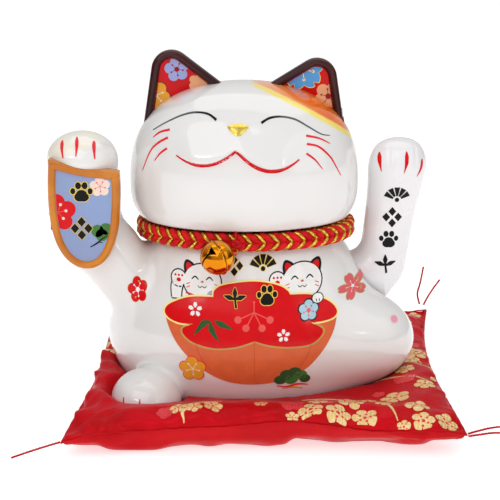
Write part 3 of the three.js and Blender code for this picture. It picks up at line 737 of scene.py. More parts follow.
def brushed_patches(tree, where, base):
    """The calico patch by the right ear, edged in yellow, and a faint one under the left ear."""
    wander = times(tree, math_node(tree, "SUBTRACT", noise(tree, where, 90), 0.5), 0.0016)
    right_way = unit((0.5285, 0.205, 1))
    right_at = float(np.array(right_way) @ place((0, 0, 228.7)))
    right = math_node(tree, "ADD", plane_distance(tree, where, right_way, right_at), wander)
    streaks = node(tree, "ShaderNodeMapping", {0: where, 3: (30, 30, 260)}, vector_type="POINT").outputs[0]
    streak = steps_between(tree, noise(tree, streaks, 1.0), 0.42, 0.62)
    x_at = node(tree, "ShaderNodeSeparateXYZ", {0: where}).outputs
    along = steps_between(tree, x_at[0], -0.005, 0.045)
    orange = mix(tree, along, (0.95, 0.34, 0.12), (0.88, 0.15, 0.012))
    orange = mix(tree, times(tree, streak, 0.4), orange, (0.95, 0.32, 0.06))
    ahead = times(tree, steps_between(tree, x_at[1], 0.05, 0.02),
                  steps_between(tree, x_at[0], -0.012, -0.004))
    yellow_mask = times(tree, steps_between(tree, right, -0.0002, 0.0009), ahead)
    orange_mask = times(tree, steps_between(tree, right, 0.0034, 0.0052), ahead)
    left_way = unit((-0.52, 0.1, 1))
    left_at = float(np.array(left_way) @ place((-50, -18, 219)))
    left = plane_distance(tree, where, left_way, left_at)
    left_side = times(tree, steps_between(tree, x_at[0], -0.035, -0.055),
                      steps_between(tree, x_at[1], 0.02, 0.0))
    pale_mask = times(tree, steps_between(tree, left, -0.001, 0.004), left_side)
    pale_mask = times(tree, pale_mask, math_node(tree, "ADD", times(tree, streak, 0.3), 0.3))
    cream = mix(tree, steps_between(tree, x_at[0], -0.085, -0.06), (0.97, 0.86, 0.62), (0.95, 0.66, 0.62))
    colored = mix(tree, pale_mask, base, cream)
    colored = mix(tree, yellow_mask, colored, (0.95, 0.76, 0.17))
    return mix(tree, orange_mask, colored, orange)


def woven(tree, where, scale=75.0):
    """A satin weave: fine ribs both ways."""
    ribs = {"Vector": where, "Scale": scale, "Distortion": 0.4}
    waves = [node(tree, "ShaderNodeTexWave", ribs, bands_direction=way).outputs[1] for way in ("X", "Y")]
    return math_node(tree, "ADD", *waves)


def fine_woven(tree, where):
    """The tighter weave of the brocade threads."""
    return woven(tree, where, 130.0)


def woven_flowers(tree, where, base):
    """Tone-on-tone flowers woven into the satin."""
    flat = node(tree, "ShaderNodeVectorMath", {0: where, 1: (1, 1, 0)}, operation="MULTIPLY").outputs[0]
    spread = {"Vector": flat, "Scale": 30.0, "Randomness": 0.75}
    cells = node(tree, "ShaderNodeTexVoronoi", spread, feature="F1")
    ends = {0: flat, 1: cells.outputs["Position"]}
    local = node(tree, "ShaderNodeVectorMath", ends, operation="SUBTRACT").outputs[0]
    x, y, _ = node(tree, "ShaderNodeSeparateXYZ", {0: local}).outputs
    spin = times(tree, node(tree, "ShaderNodeSeparateColor", {0: cells.outputs["Color"]}).outputs[0], 6.28)
    angle = math_node(tree, "ADD", math_node(tree, "ARCTAN2", y, x), spin)
    wave = math_node(tree, "ABSOLUTE", math_node(tree, "COSINE", times(tree, angle, 2.5)))
    reach = math_node(tree, "ADD", times(tree, wave, 0.0036), 0.0072)
    away = node(tree, "ShaderNodeVectorMath", {0: local}, operation="LENGTH").outputs["Value"]
    petal = steps_between(tree, math_node(tree, "SUBTRACT", reach, away), 0.0, 0.0006)
    heart = steps_between(tree, away, 0.0018, 0.0022)
    return mix(tree, times(tree, times(tree, petal, heart), 0.5), base, (0.56, 0.01, 0.022))


def make_materials():
    """Every look by its short name."""
    m = {}
    m["porcelain"] = finish(
        "porcelain", (0.8, 0.79, 0.775), 0.1, tint=(0.82, 0.81, 0.795), tint_scale=14, rough_vary=0.03,
        bump=0.02, grain=120, paint=brushed_patches, Coat_Weight=0.6, Coat_Roughness=0.03, IOR=1.5,
    )
    m["pearl"] = finish(
        "pearl", (0.83, 0.815, 0.83), 0.24, tint=(0.86, 0.845, 0.855), tint_scale=18, rough_vary=0.04,
        bump=0.015, grain=160, Coat_Weight=0.35, Coat_Roughness=0.12,
    )
    inks = {
        "ink_black": ((0.004, 0.004, 0.004), 0.42), "ink_grey": ((0.1, 0.11, 0.125), 0.3),
        "ink_red": ((0.7, 0.003, 0.007), 0.16), "ink_scarlet": ((0.8, 0.03, 0.04), 0.2),
        "ink_dark_red": ((0.33, 0.003, 0.007), 0.2), "ink_orange": ((0.72, 0.135, 0.045), 0.2),
        "ink_deep_orange": ((0.62, 0.085, 0.03), 0.2), "ink_amber": ((0.84, 0.36, 0.03), 0.2),
        "ink_gold": ((0.93, 0.66, 0.1), 0.22), "ink_pale_gold": ((0.97, 0.85, 0.3), 0.22),
        "ink_white": ((0.9, 0.89, 0.87), 0.15), "ink_pink": ((0.78, 0.13, 0.16), 0.2),
        "ink_soft_pink": ((0.93, 0.72, 0.62), 0.2), "ink_pale_red": ((0.85, 0.11, 0.1), 0.2),
        "ink_blue": ((0.36, 0.4, 0.72), 0.22), "ink_sky": ((0.1, 0.35, 0.74), 0.2),
        "ink_ice": ((0.42, 0.62, 0.72), 0.2), "ink_green": ((0.035, 0.1, 0.03), 0.25),
        "ink_moss": ((0.06, 0.2, 0.045), 0.25), "ink_peach": ((0.85, 0.4, 0.2), 0.2),
        "ink_olive": ((0.5, 0.38, 0.1), 0.22), "ink_blush": ((0.88, 0.7, 0.68), 0.2),
        "ink_pale_pink": ((0.85, 0.38, 0.47), 0.2),
    }
    for name, (color, rough) in inks.items():
        m[name] = finish(name, color, rough, tint_scale=120, rough_vary=0.04, bump=0.02, grain=900,
                         Specular_IOR_Level=0.15, Coat_Weight=0.06, Coat_Roughness=0.05)
    m["maroon"] = finish("maroon_glaze", (0.032, 0.005, 0.006), 0.14, tint=(0.05, 0.008, 0.008),
                         tint_scale=40, bump=0.02, Specular_IOR_Level=0.22, Coat_Weight=0.12,
                         Coat_Roughness=0.03)
    m["ear_red"] = finish("ear_red_glaze", (0.66, 0.004, 0.008), 0.16, tint=(0.58, 0.004, 0.006), bump=0.02,
                          Specular_IOR_Level=0.15, Coat_Weight=0.06)
    m["frame_orange"] = finish("frame_orange_glaze", (0.66, 0.23, 0.012), 0.16, tint=(0.54, 0.16, 0.008),
                               tint_scale=35, bump=0.02, Specular_IOR_Level=0.3, Coat_Weight=0.2,
                               Coat_Roughness=0.03)
    m["panel_blue"] = finish("panel_blue_glaze", (0.29, 0.34, 0.55), 0.22, tint=(0.27, 0.36, 0.6),
                             tint_scale=25, bump=0.02, Specular_IOR_Level=0.3)
    m["nose_gold"] = finish("nose_gold", (0.75, 0.52, 0.08), 0.24, 0.85, tint=(0.9, 0.72, 0.2),
                            tint_scale=150)
    m["bell_gold"] = finish("bell_gold", (0.82, 0.32, 0.012), 0.1, 1.0, tint=(0.7, 0.23, 0.008),
                            tint_scale=60, rough_vary=0.03, bump=0.015, grain=300)
    m["bell_dark"] = finish("bell_dark", (0.02, 0.012, 0.006), 0.5, 0.3)

    def fibres(tree, where):
        drawn_out = node(tree, "ShaderNodeMapping", {0: where, 3: (900, 900, 260)}).outputs[0]
        return noise(tree, drawn_out, 1.0, 2.0)

    m["plait_red"] = finish("plait_red", (0.74, 0.014, 0.016), 0.5, tint=(0.5, 0.006, 0.01), tint_scale=220,
                            bump=0.5, height=fibres, Specular_IOR_Level=0.1)
    m["plait_gold"] = finish("plait_gold", (0.9, 0.62, 0.08), 0.2, 0.95, tint=(0.45, 0.25, 0.02),
                             tint_scale=500, bump=0.6, grain=1200)
    m["thread_red"] = finish("thread_red", (0.6, 0.012, 0.014), 0.5, tint=(0.5, 0.01, 0.012),
                             tint_scale=500, bump=0.4, height=fibres, Specular_IOR_Level=0.1)
    m["satin"] = finish("satin_red", (0.6, 0.002, 0.009), 0.4, 0.2, tint=(0.5, 0.002, 0.006), tint_scale=22,
                        bump=0.12, height=woven, paint=woven_flowers, Specular_IOR_Level=0.1)
    # the underside and seam satin: plain, without the woven flowers, and a little darker than the top satin
    # as painted shade under the roll and in the seam crease
    m["satin_plain_shaded"] = finish("satin_plain_shaded", (0.58, 0.006, 0.01), 0.38, 0.2, tint=(0.5, 0.004, 0.008),
                              tint_scale=26, bump=0.12, height=woven, Specular_IOR_Level=0.1)
    m["brocade_gold"] = finish("brocade_gold", (0.83, 0.56, 0.2), 0.42, 0.35, tint=(0.9, 0.68, 0.34),
                               tint_scale=300, bump=0.5, height=fine_woven)
    m["brocade_rose"] = finish("brocade_rose", (0.75, 0.03, 0.04), 0.4, tint=(0.66, 0.02, 0.03),
                               tint_scale=300, bump=0.4, height=fine_woven)
    m["gold"] = finish("gilt_metal", (0.85, 0.55, 0.16), 0.22, 1.0, tint_scale=200)
    m["brass"] = finish("turned_brass", (0.75, 0.52, 0.2), 0.28, 1.0, tint_scale=250)
    m["steel"] = finish("zinc_steel", (0.62, 0.63, 0.65), 0.3, 1.0, tint=(0.5, 0.51, 0.53), tint_scale=300)
    m["magnet"] = finish("nickel_magnet", (0.5, 0.51, 0.53), 0.25, 1.0, tint_scale=260)
    m["ivory"] = finish("moulded_ivory", (0.78, 0.75, 0.68), 0.42, tint_scale=70, bump=0.15, grain=1500)
    m["black"] = finish("moulded_black", (0.02, 0.02, 0.022), 0.48, tint_scale=70, bump=0.2, grain=1500)

    def windings(tree, where):
        turns = {"Vector": where, "Scale": 160.0}
        return node(tree, "ShaderNodeTexWave", turns, bands_direction="Z").outputs[1]

    m["copper"] = finish("wound_copper", (0.72, 0.28, 0.1), 0.3, 1.0, tint_scale=400, bump=0.8,
                         height=windings)
    m["board"] = finish("board_green", (0.03, 0.2, 0.07), 0.35, tint=(0.02, 0.15, 0.05), tint_scale=300)
    m["cell"] = finish("cell_wrap", (0.06, 0.22, 0.1), 0.25, tint=(0.5, 0.42, 0.2), tint_scale=20)
    m["wire_red"] = finish("wire_red", (0.6, 0.02, 0.02), 0.45, tint_scale=400)
    m["wire_black"] = finish("wire_black", (0.015, 0.015, 0.015), 0.45, tint_scale=400)
    return m


CAD_LOOKS = {
    "gold": ["collar_sleeve"],
    "steel": ["bell_pellet", "arm_axle", "axle_clip", "counterweight", "tower_screw_1", "tower_screw_2",
              "clip_screw_1", "clip_screw_2", "clip_screw_3", "battery_spring_1", "battery_spring_2"],
    "magnet": ["pendulum_magnet"],
    "ivory": ["arm_hub", "pendulum_lever", "drive_tower", "base_plate"],
    "brass": ["bush_inner", "bush_outer", "battery_contact_1", "battery_contact_2"],
    "black": ["coil_bobbin", "retaining_clip_1", "retaining_clip_2", "retaining_clip_3", "battery_box",
              "battery_door", "switch_body", "switch_knob"],
    "copper": ["coil_winding"],
    "board": ["circuit_board"],
    "cell": ["battery_cell_1", "battery_cell_2"],
    "wire_red": ["battery_lead_red", "coil_lead"],
    "wire_black": ["battery_lead_black"],
}


def dress_cad_nodes():
    """Gives the pieces that keep their CAD form their materials."""
    for look, names in CAD_LOOKS.items():
        for name in names:
            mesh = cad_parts[name].data
            mesh.materials.clear()
            mesh.materials.append(M[look])
            mesh.polygons.foreach_set("use_smooth", [True] * len(mesh.polygons))
            mesh.set_sharp_from_angle(angle=math.radians(35))


make_camera()
M = make_materials()
make_studio()


# ---------------------------------------------------------------- tassels
THREAD_R = 0.85
TASSELS = {
    "tassel_front_left": [(-142.5, -134, 11.4), (-152, -138, 9.8), (-163, -143, 7.8), (-175, -148, 5.2)],
    "tassel_front_right_1": [(142.6, -134, 17.6), (150, -133, 19.4), (160, -131.5, 21.2),
                             (174, -130, 22.2)],
    "tassel_front_right_2": [(142.6, -136.2, 16.6), (151, -137, 18.2), (161, -138, 19.8),
                             (174, -139.5, 19.4)],
    "tassel_back_right_1": [(135.5, 131.6, 36), (133.6, 132.2, 45), (136, 133.5, 55), (138.4, 135, 68)],
    "tassel_back_right_2": [(139.4, 134.6, 34.5), (143, 139.5, 39.5), (149, 147, 46), (155, 155, 51)],
    "tassel_back_left": [(-127.4, 134, 26), (-124, 142, 22), (-117.5, 149, 15.5), (-109.5, 153.5, 8.5)],
}


def make_tassels():
    """The cut ends of the sewing cord at the corners."""
    for name, route in TASSELS.items():
        line = smooth_curve(route, 10) * MM
        points, faces = twisted(line, THREAD_R * MM, 3, 0.007, 6)
        piece = new_object(name + "_thread", points, faces, ["thread_red"], "cushion")
        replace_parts(piece, name)


make_tassels()


# ---------------------------------------------------------------- ceramic body
BODY_BOX = ((-150, -102, -3), (132, 94, 236))


def make_ceramic():
    """The glazed body as one closed hollow mesh."""
    points, faces = surface_net(ceramic, *BODY_BOX, 1.5)
    piece = new_object("glazed_body", place(points), faces, ["porcelain"], "figurine")
    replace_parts(piece, "ceramic_body")


EAR_TIP_R = 15


def ear_outline(outer, tip, inner, tail=14):
    """A rounded triangle: up from the outer corner, round the tip and down to the inner corner."""
    outer, tip, inner = (np.array(p, float) for p in (outer, tip, inner))
    side = 1 if outer[0] < inner[0] else -1

    def touch(corner, turn):
        d = corner - tip
        return math.atan2(d[1], d[0]) + turn * math.acos(EAR_TIP_R / np.hypot(*d))

    start, end = touch(outer, -side), touch(inner, side)
    while side > 0 and end > start:
        end -= 2 * math.pi
    while side < 0 and end < start:
        end += 2 * math.pi
    angle = np.linspace(start, end, 14)
    arc = tip + EAR_TIP_R * np.stack([np.cos(angle), np.sin(angle)], 1)
    rise = (arc[0] - outer) / np.linalg.norm(arc[0] - outer)
    fall = (inner - arc[-1]) / np.linalg.norm(inner - arc[-1])
    low_outer, low_inner = outer - rise * tail, inner + fall * tail
    left = np.linspace(low_outer, arc[0], 16, endpoint=False)
    right = np.linspace(arc[-1], low_inner, 16)[1:]
    base = np.linspace(low_inner, low_outer, 12)[1:-1]
    return np.vstack([left, arc, right, base])


def inset(outline, d):
    """The outline moved in by d along its own normals."""
    along = np.roll(outline, -1, 0) - np.roll(outline, 1, 0)
    along /= np.maximum(np.linalg.norm(along, axis=1), 1e-9)[:, None]
    normal = np.stack([-along[:, 1], along[:, 0]], 1) * (1 if winding(outline) > 0 else -1)
    return outline + normal * d


def relief_plate(name, outline, profile, looks):
    """A plate made of rings of its outline. profile holds (inset, y); the panel takes the second look."""
    rings = [np.insert(inset(outline, d), 1, y, axis=1) for d, y in profile]
    points, faces = loft(rings)
    piece = new_object(name, place(points), faces, looks, "figurine")
    panel = (len(profile) - 2) * len(outline)
    kinds = [int(min(face) >= panel) for face in faces]
    piece.data.polygons.foreach_set("material_index", kinds)
    face_out(piece)
    piece.data.set_sharp_from_angle(angle=math.radians(50))


def face_out(piece):
    """Turns a closed piece's faces outward."""
    shape = bmesh.new()
    shape.from_mesh(piece.data)
    bmesh.ops.recalc_face_normals(shape, faces=shape.faces)
    shape.to_mesh(piece.data)
    shape.free()


EAR_PANEL_Y = -3.5
EAR_PROFILE = [
    (11, 11.6), (7.5, 10.6), (4.4, 8.6), (2, 5.8), (0.6, 2.6), (0, -0.6), (0, -4), (0.5, -6.3), (1.8, -7.8),
    (3.4, -8), (4.8, -7.3), (5.8, -5.8), (6.4, EAR_PANEL_Y - 0.3), (7, EAR_PANEL_Y),
]
EARS = {
    "left_ear": [(-77, 195), (-55, 240), (-12, 226)],
    "right_ear": [(72.5, 206), (53, 234), (8, 224)],
}


def make_ears():
    """Two rounded plates with a red panel each."""
    for name, corners in EARS.items():
        outline = ear_outline(*corners, tail=8)
        relief_plate(name, outline, EAR_PROFILE, ["maroon", "ear_red"])


def stamens(paint, centre, r, look, turn, dot, width, layer):
    """Five rays with a dot at each end."""
    for i in range(5):
        end = polar(centre, r, turn + 72 * i)
        paint.brush([centre, end], [width, width * 0.7], look, layer, 3)
        paint.add(disc(end, dot, steps=10), look, layer)


def plum(paint, centre, r, fill, edge=None, eye=None, layer=1, turn=90, rays=None, rim=0.8, power=0.7,
         notch=0.0):
    """A five-petalled blossom with an outline, an eye and stamens."""
    if edge:
        paint.add(petals(centre, r + rim, turn=turn, power=power, notch=notch), edge, layer)
    paint.add(petals(centre, r, turn=turn, power=power, notch=notch), fill, layer + 1)
    if rays:
        stamens(paint, centre, r * 0.5, rays, turn + 36, r * 0.075, r * 0.05, layer + 2)
    if eye:
        paint.add(disc(centre, r * 0.2), eye, layer + 3)


def make_ear_paint():
    """The flowers on the ears' panels, cut off at the panels' edges."""
    panels = [inset(ear_outline(*corners), 6.8)[2:-13] for corners in EARS.values()]
    left = Paint(on_plane(EAR_PANEL_Y))
    left.warp = lambda outline: clipped(outline, panels[0])
    plum(left, (-51, 240.5), 9.2, "ink_blue", None, "ink_dark_red", 0, 100, "ink_dark_red")
    plum(left, (-66.5, 221), 10.5, "ink_amber", "ink_black", None, 0, 60, "ink_white", 0.5)
    left.add(petals((-35.5, 230.5), 7, turn=70), "ink_peach", 1)
    left.piece("left_ear_flowers")
    right = Paint(on_plane(EAR_PANEL_Y))
    right.warp = lambda outline: clipped(outline, panels[1])
    plum(right, (42.5, 240.5), 15.5, "ink_sky", "ink_gold", None, 0, -120, "ink_pale_gold", 0.7, 0.6, 0.25)
    plum(right, (61.5, 220.5), 10.5, "ink_peach", None, "ink_dark_red", 2, 60, "ink_dark_red")
    right.piece("right_ear_flowers")


make_ceramic()
make_ears()
make_ear_paint()


# ---------------------------------------------------------------- plaque on the raised arm
PLAQUE_PANEL_Y = -55.2
PLAQUE_SIDE = [
    (-142.2, 182), (-143.2, 163), (-142.8, 144), (-140.6, 128), (-136.4, 116), (-130, 107), (-121.5, 101.6),
    (-112.5, 101), (-104.3, 105), (-98, 113.4), (-93.6, 126), (-91.4, 141), (-90.6, 158), (-91, 173),
]
PLAQUE_PROFILE = [
    (8, -44), (1, -44), (0, -46), (0, -53), (0.6, -55.6), (2, -57.2), (3.6, -57.6), (5, -57.2),
    (5.8, -56.2), (6, PLAQUE_PANEL_Y - 0.2), (6.3, PLAQUE_PANEL_Y),
]


def make_plaque():
    """The orange frame and blue panel on the raised arm, with their paint."""
    side = smooth_curve(PLAQUE_SIDE, 6)
    across = np.linspace(side[-1], side[0], 12)[1:-1]
    across[:, 1] -= 1.6 * np.sin(np.linspace(0, math.pi, len(across)))
    outline = np.vstack([side, across])
    relief_plate("arm_plaque", outline, PLAQUE_PROFILE, ["frame_orange", "panel_blue"])
    paint = Paint(on_plane(PLAQUE_PANEL_Y))
    big = petals((-136.5, 143), 14, turn=20)
    big[:, 0] = np.maximum(big[:, 0], -141.5)
    paint.add(big, "ink_red", 0)
    heart = (-136, 143.5)
    for i in range(6):
        end = polar(heart, 6, 60 * i + 10)
        paint.brush([heart, end], [0.5, 0.5], "ink_pale_red", 1, 3)
        paint.add(disc(end, 1.1), "ink_soft_pink", 2)
    plum(paint, (-105, 162.5), 7.6, "ink_soft_pink", None, None, 0, 95, "ink_pink")
    for x, z, r in ((-107.5, 129.5, 4.6), (-101.5, 131, 4.4), (-104.5, 126.5, 4.6)):
        clump = disc((x, z), r)
        clump[:, 0] = np.minimum(clump[:, 0], -97.5)
        paint.add(clump, "ink_moss", 1)
    paint.brush([(-113, 117.5), (-108, 120.5), (-104.5, 123.5), (-100.5, 126)], [0.7, 1.2, 0.9, 0.6],
                "ink_black", 2)
    paint.brush([(-107, 121.5), (-104.2, 120.6)], [0.9, 0.4], "ink_black", 2, 4)
    paw_mark(paint, (-118.5, 158), 9.2, 3)
    lattice_mark(paint, (-119, 131.5), 9.4, 3)
    paint.piece("arm_plaque_paint")


def outlined(paint, outline, layer, edge, rim=0.5):
    """A black shape, with a thin edge in another ink if asked."""
    outline = np.asarray(outline, float)
    if edge:
        paint.add(inset(outline, -rim), edge, layer)
    paint.add(outline, "ink_black", layer + 1)


def paw_mark(paint, centre, r, layer, edge="ink_gold"):
    """A paw print: one pad and four toes."""
    x, z = centre
    pad = petals((x, z - 0.28 * r), 0.6 * r, 3, 90, 0.18, 0.85, 1.0)
    outlined(paint, pad, layer, edge)
    for dx, dz, size in ((-0.68, 0.12, 0.2), (-0.26, 0.56, 0.23), (0.26, 0.56, 0.23), (0.68, 0.12, 0.2)):
        outlined(paint, disc((x + dx * r, z + dz * r), size * r, 1.25), layer, edge)


def lattice_mark(paint, centre, r, layer, edge="ink_gold"):
    """Four lozenges set in a diamond."""
    x, z = centre
    for dx, dz in ((0, 0.52), (0.52, 0), (0, -0.52), (-0.52, 0)):
        c = np.array([x + dx * r, z + dz * r])
        lozenge = c + 0.4 * r * np.array([(0, 1), (0.85, 0), (0, -1), (-0.85, 0)])[::-1]
        outlined(paint, evenly(lozenge, 1.0), layer, edge, rim=0.35)


def leaf_mark(paint, centre, r, layer, edge="ink_gold"):
    """Three leaves on a short stem."""
    x, z = centre
    for degrees in (90, 162, 18):
        a = math.radians(degrees)
        tip = (x + r * math.cos(a), z - 0.25 * r + r * math.sin(a) * 0.95)
        mid = (x + 0.5 * r * math.cos(a), z - 0.25 * r + 0.5 * r * math.sin(a))
        leaf = stroke([(x, z - 0.25 * r), mid, tip], [0.08 * r, 0.42 * r, 0.05 * r], 6)
        outlined(paint, leaf, layer, edge, rim=0.35)
    outlined(paint, stroke([(x, z - 0.2 * r), (x + 0.1 * r, z - 0.95 * r)], [0.16 * r, 0.2 * r], 5), layer,
             edge, rim=0.35)


def fan_mark(paint, centre, r, layer, edge="ink_gold"):
    """An open fan with five blades."""
    x, z = centre
    for degrees in np.linspace(30, 150, 5):
        corners = ((0.45, -12), (1.35, -12), (1.35, 12), (0.45, 12))
        blade = [polar((x, z - 0.55 * r), share * r, degrees + aside) for share, aside in corners]
        outlined(paint, evenly(np.array(blade), 1.0), layer, edge, rim=0.3)
    outlined(paint, disc((x, z - 0.5 * r), 0.22 * r), layer, edge, rim=0.35)


make_plaque()


# ---------------------------------------------------------------- waving arm
ARM_BOX = ((72, -18, 62), (140, 28, 190))
ARM_SEAM = 0.12  # half of the fine line between the two shells
SEAM_SNAP = 0.28  # vertices nearer the cut than this move onto it


def shell_half(name, source, side):
    """One half of the arm, cut at the seam plane and closed along the cut."""
    mesh = source.data.copy()
    shape = bmesh.new()
    shape.from_mesh(mesh)
    at = (PIVOT["y"] + side * ARM_SEAM) * MM
    for vertex in shape.verts:
        if abs(vertex.co.y - at) < SEAM_SNAP * MM:
            vertex.co.y = at
    parts = [*shape.verts, *shape.edges, *shape.faces]
    bmesh.ops.bisect_plane(shape, geom=parts, plane_co=(0, at, 0), plane_no=(0, side, 0), clear_inner=True)
    rim = [edge for edge in shape.edges if edge.is_boundary]
    cap = bmesh.ops.triangle_fill(shape, use_beauty=True, edges=rim)["geom"]
    for face in cap:
        if isinstance(face, bmesh.types.BMFace):
            face.smooth = False
    for edge in rim:
        edge.smooth = False
    bmesh.ops.recalc_face_normals(shape, faces=shape.faces)
    shape.to_mesh(mesh)
    shape.free()
    mesh.set_sharp_from_angle(angle=math.radians(50))
    piece = in_scene(name, mesh)
    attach(piece, "waving_arm")
    return piece


def make_waving_arm():
    """Front and rear half shells of the pearl plastic arm, and its paint."""
    points, faces = surface_net(arm_shell, *ARM_BOX, 0.8)
    whole = new_object("arm_whole", place(points), faces, ["pearl"], "waving_arm")
    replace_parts(shell_half("arm_front_half", whole, -1), "arm_front_shell")
    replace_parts(shell_half("arm_rear_half", whole, 1), "arm_rear_shell")
    bpy.data.objects.remove(whole)
    paint = Paint(on_front(arm_outside))
    claws = [
        [(100.5, 178.6), (100.4, 172), (101.8, 164.6)],
        [(120.2, 180), (120.2, 172), (118.2, 163.6)],
        [(132.3, 173.6), (131.6, 167), (128.4, 160.6)],
    ]
    for claw, width in zip(claws, (2.8, 2.9, 1.9)):
        paint.brush(claw, [0.7, width, width, 1.2, 0.2], "ink_red")
    marks = [fan_mark, lattice_mark, paw_mark, leaf_mark]
    places = [(113.6, 147.3), (110.4, 130), (108.2, 112.4), (105.8, 95)]
    for mark, centre, size in zip(marks, places, (7.6, 8.6, 8.2, 8.4)):
        mark(paint, centre, size, 1, None)
    paint.piece("arm_paint", "waving_arm", "pearl_plastic")


make_waving_arm()


# ---------------------------------------------------------------- face
EYES = [
    [(-67.6, 199.6), (-57.9, 205.9), (-46.5, 211.6), (-36.2, 214.4), (-26.9, 213.9), (-20.8, 210.4)],
    [(61.5, 196.8), (55.1, 198.5), (45.9, 204.1), (35.7, 209.9), (25.5, 212.2), (17.4, 211.6),
     (11.4, 208.6)],
]
WHISKERS = [
    [(-67.4, 194.8), (-62.2, 199.1), (-54.8, 201.8)],
    [(-75.5, 170.4), (-69.4, 185.1), (-63.4, 191.8), (-56.1, 196.4)],
    [(-66.2, 179), (-62, 184.7), (-56.7, 189.1)], [(61.4, 191.4), (53.2, 196), (43.7, 198.7)],
    [(69.6, 167.6), (65.5, 175.5), (61.3, 182.5), (53, 190.3), (44.2, 193.1)],
    [(55.8, 174.4), (50.1, 181.7), (43.9, 186.6)],
]
PAW_CLAWS = [
    [(-132.7, 193.8), (-132.7, 189.2), (-131.4, 182.6)],
    [(-122.2, 196.4), (-121.6, 191), (-122, 184.2)],
    [(-109.9, 193.8), (-109.3, 189), (-108.6, 182)],
]


def make_face():
    """Eyes, whiskers, claws, smile and the gilt nose."""
    paint = Paint(on_front(outside), 1.2, first=0.2)
    smile = Paint(on_front(outside), 0.8, first=0.36)
    for eye in EYES:
        paint.brush(eye, [0.45, 0.7, 0.9, 1.1, 1.2, 1.5, 1.5], "ink_grey")
        paint.brush(eye[-3:], [0.3, 1.3, 1.8], "ink_black", 1)
    for whisker in WHISKERS:
        paint.brush(whisker, [0.4, 0.9, 1.3, 1.5], "ink_scarlet")
    for claw, width in zip(PAW_CLAWS, (2.5, 2.6, 2.5)):
        paint.brush(claw, [0.8, width, width * 0.9, 1.3, 0.8], "ink_scarlet")
    for (x0, _), (x1, _), wide in zip(MOUTH, MOUTH[1:], ((0.9, 2.5, 2.0), (2.0, 3.0, 0.9))):
        x = np.linspace(x0 if x0 < -20 else x0 - 0.4, x1, 15)
        line = np.stack([x, mouth_line(x + 1e-3 if x0 > -20 else x - 1e-3) - 0.4], 1)
        smile.brush(line, [wide[0], wide[1], wide[1], wide[2]], "ink_red", steps=2)
    for x, low, high in ((-88.3, 7.5, 14), (-76.3, 8, 14.5)):
        paint.brush([(x, low), (x + 0.3, high)], [1.6, 0.6], "ink_scarlet", steps=5)
    paint.piece("face_paint")
    smile.piece("smile_paint")
    nose = Paint(on_front(outside), 0.55, first=0.15)
    outline = smooth_curve([(-12.9, 206.4), (-9, 207.8), (-5.3, 208.2), (-1.6, 207.8), (2.2, 206.4),
                            (0.6, 203.6), (-3, 200.9), (-5.3, 200.4), (-7.6, 200.9), (-11.3, 203.6),
                            (-12.9, 206.4)], 4)[:-1]
    nose.add(outline, "nose_gold", 0, 1.1)
    nose.piece("nose", "figurine", "gold_metal")


make_face()


# ---------------------------------------------------------------- painted belly
LOBES = {
    "top": [(-23.2, 82), (-22.4, 87.5), (-14.9, 91.4), (5.5, 93.8), (22.2, 91.2), (30.8, 86.6), (32.4, 82)],
    "left": [(-23.2, 83.1), (-40.5, 82), (-54.5, 76.4), (-59, 71), (-56.2, 66.4), (-48.1, 63.7),
             (-38.2, 63.8)],
    "right": [(32.4, 84.1), (47.7, 82.8), (61, 76.8), (67, 69.8), (64.7, 65.4), (56.6, 63.8), (47.6, 63.8)],
    "low_left": [(-38.2, 63.8), (-45.4, 60.3), (-44.8, 55.6), (-37.4, 50.5), (-22.8, 47.4), (-7.1, 48.8),
                 (6.6, 53)],
    "low_right": [(6.6, 53), (18.2, 49.6), (32.8, 47.8), (47.6, 48.6), (55.6, 54.2), (55.7, 59.1),
                  (47.6, 63.8)],
}
BOWL = [
    (-59.3, 71), (-56.4, 60.9), (-50.2, 49.2), (-40.5, 38.3), (-25.9, 26.8), (-11, 20.7), (6.6, 19),
    (24.2, 21.2), (42.8, 28.6), (56.6, 42.5), (64.8, 56.8), (67.4, 69.6),
]
RED_PLUM_AT = (-79.8, 82.4)
SAKURA_AT = (79.8, 83)
BLUSH_AT = (111.1, 57.8)
CUP_AT = (52.5, 80)


def squeezed(centre, shares):
    """A warp that squeezes a drawing about its centre."""
    return lambda outline: centre + (outline - centre) * shares


def small_flower(paint, centre, r):
    """Five separate white petals."""
    for i in range(5):
        tip, root = (polar(centre, share * r, 90 + 72 * i) for share in (1, 0.28))
        mid = ((tip[0] + root[0]) / 2, (tip[1] + root[1]) / 2)
        paint.brush([root, mid, tip], [0.15 * r, 0.6 * r, 0.35 * r], "ink_white", 10, 5)


def line(paint, points, width, ink="ink_black", layer=3):
    """A thin line with tapered ends."""
    paint.brush(points, [width * 0.6, width, width, width * 0.6], ink, layer, 6)


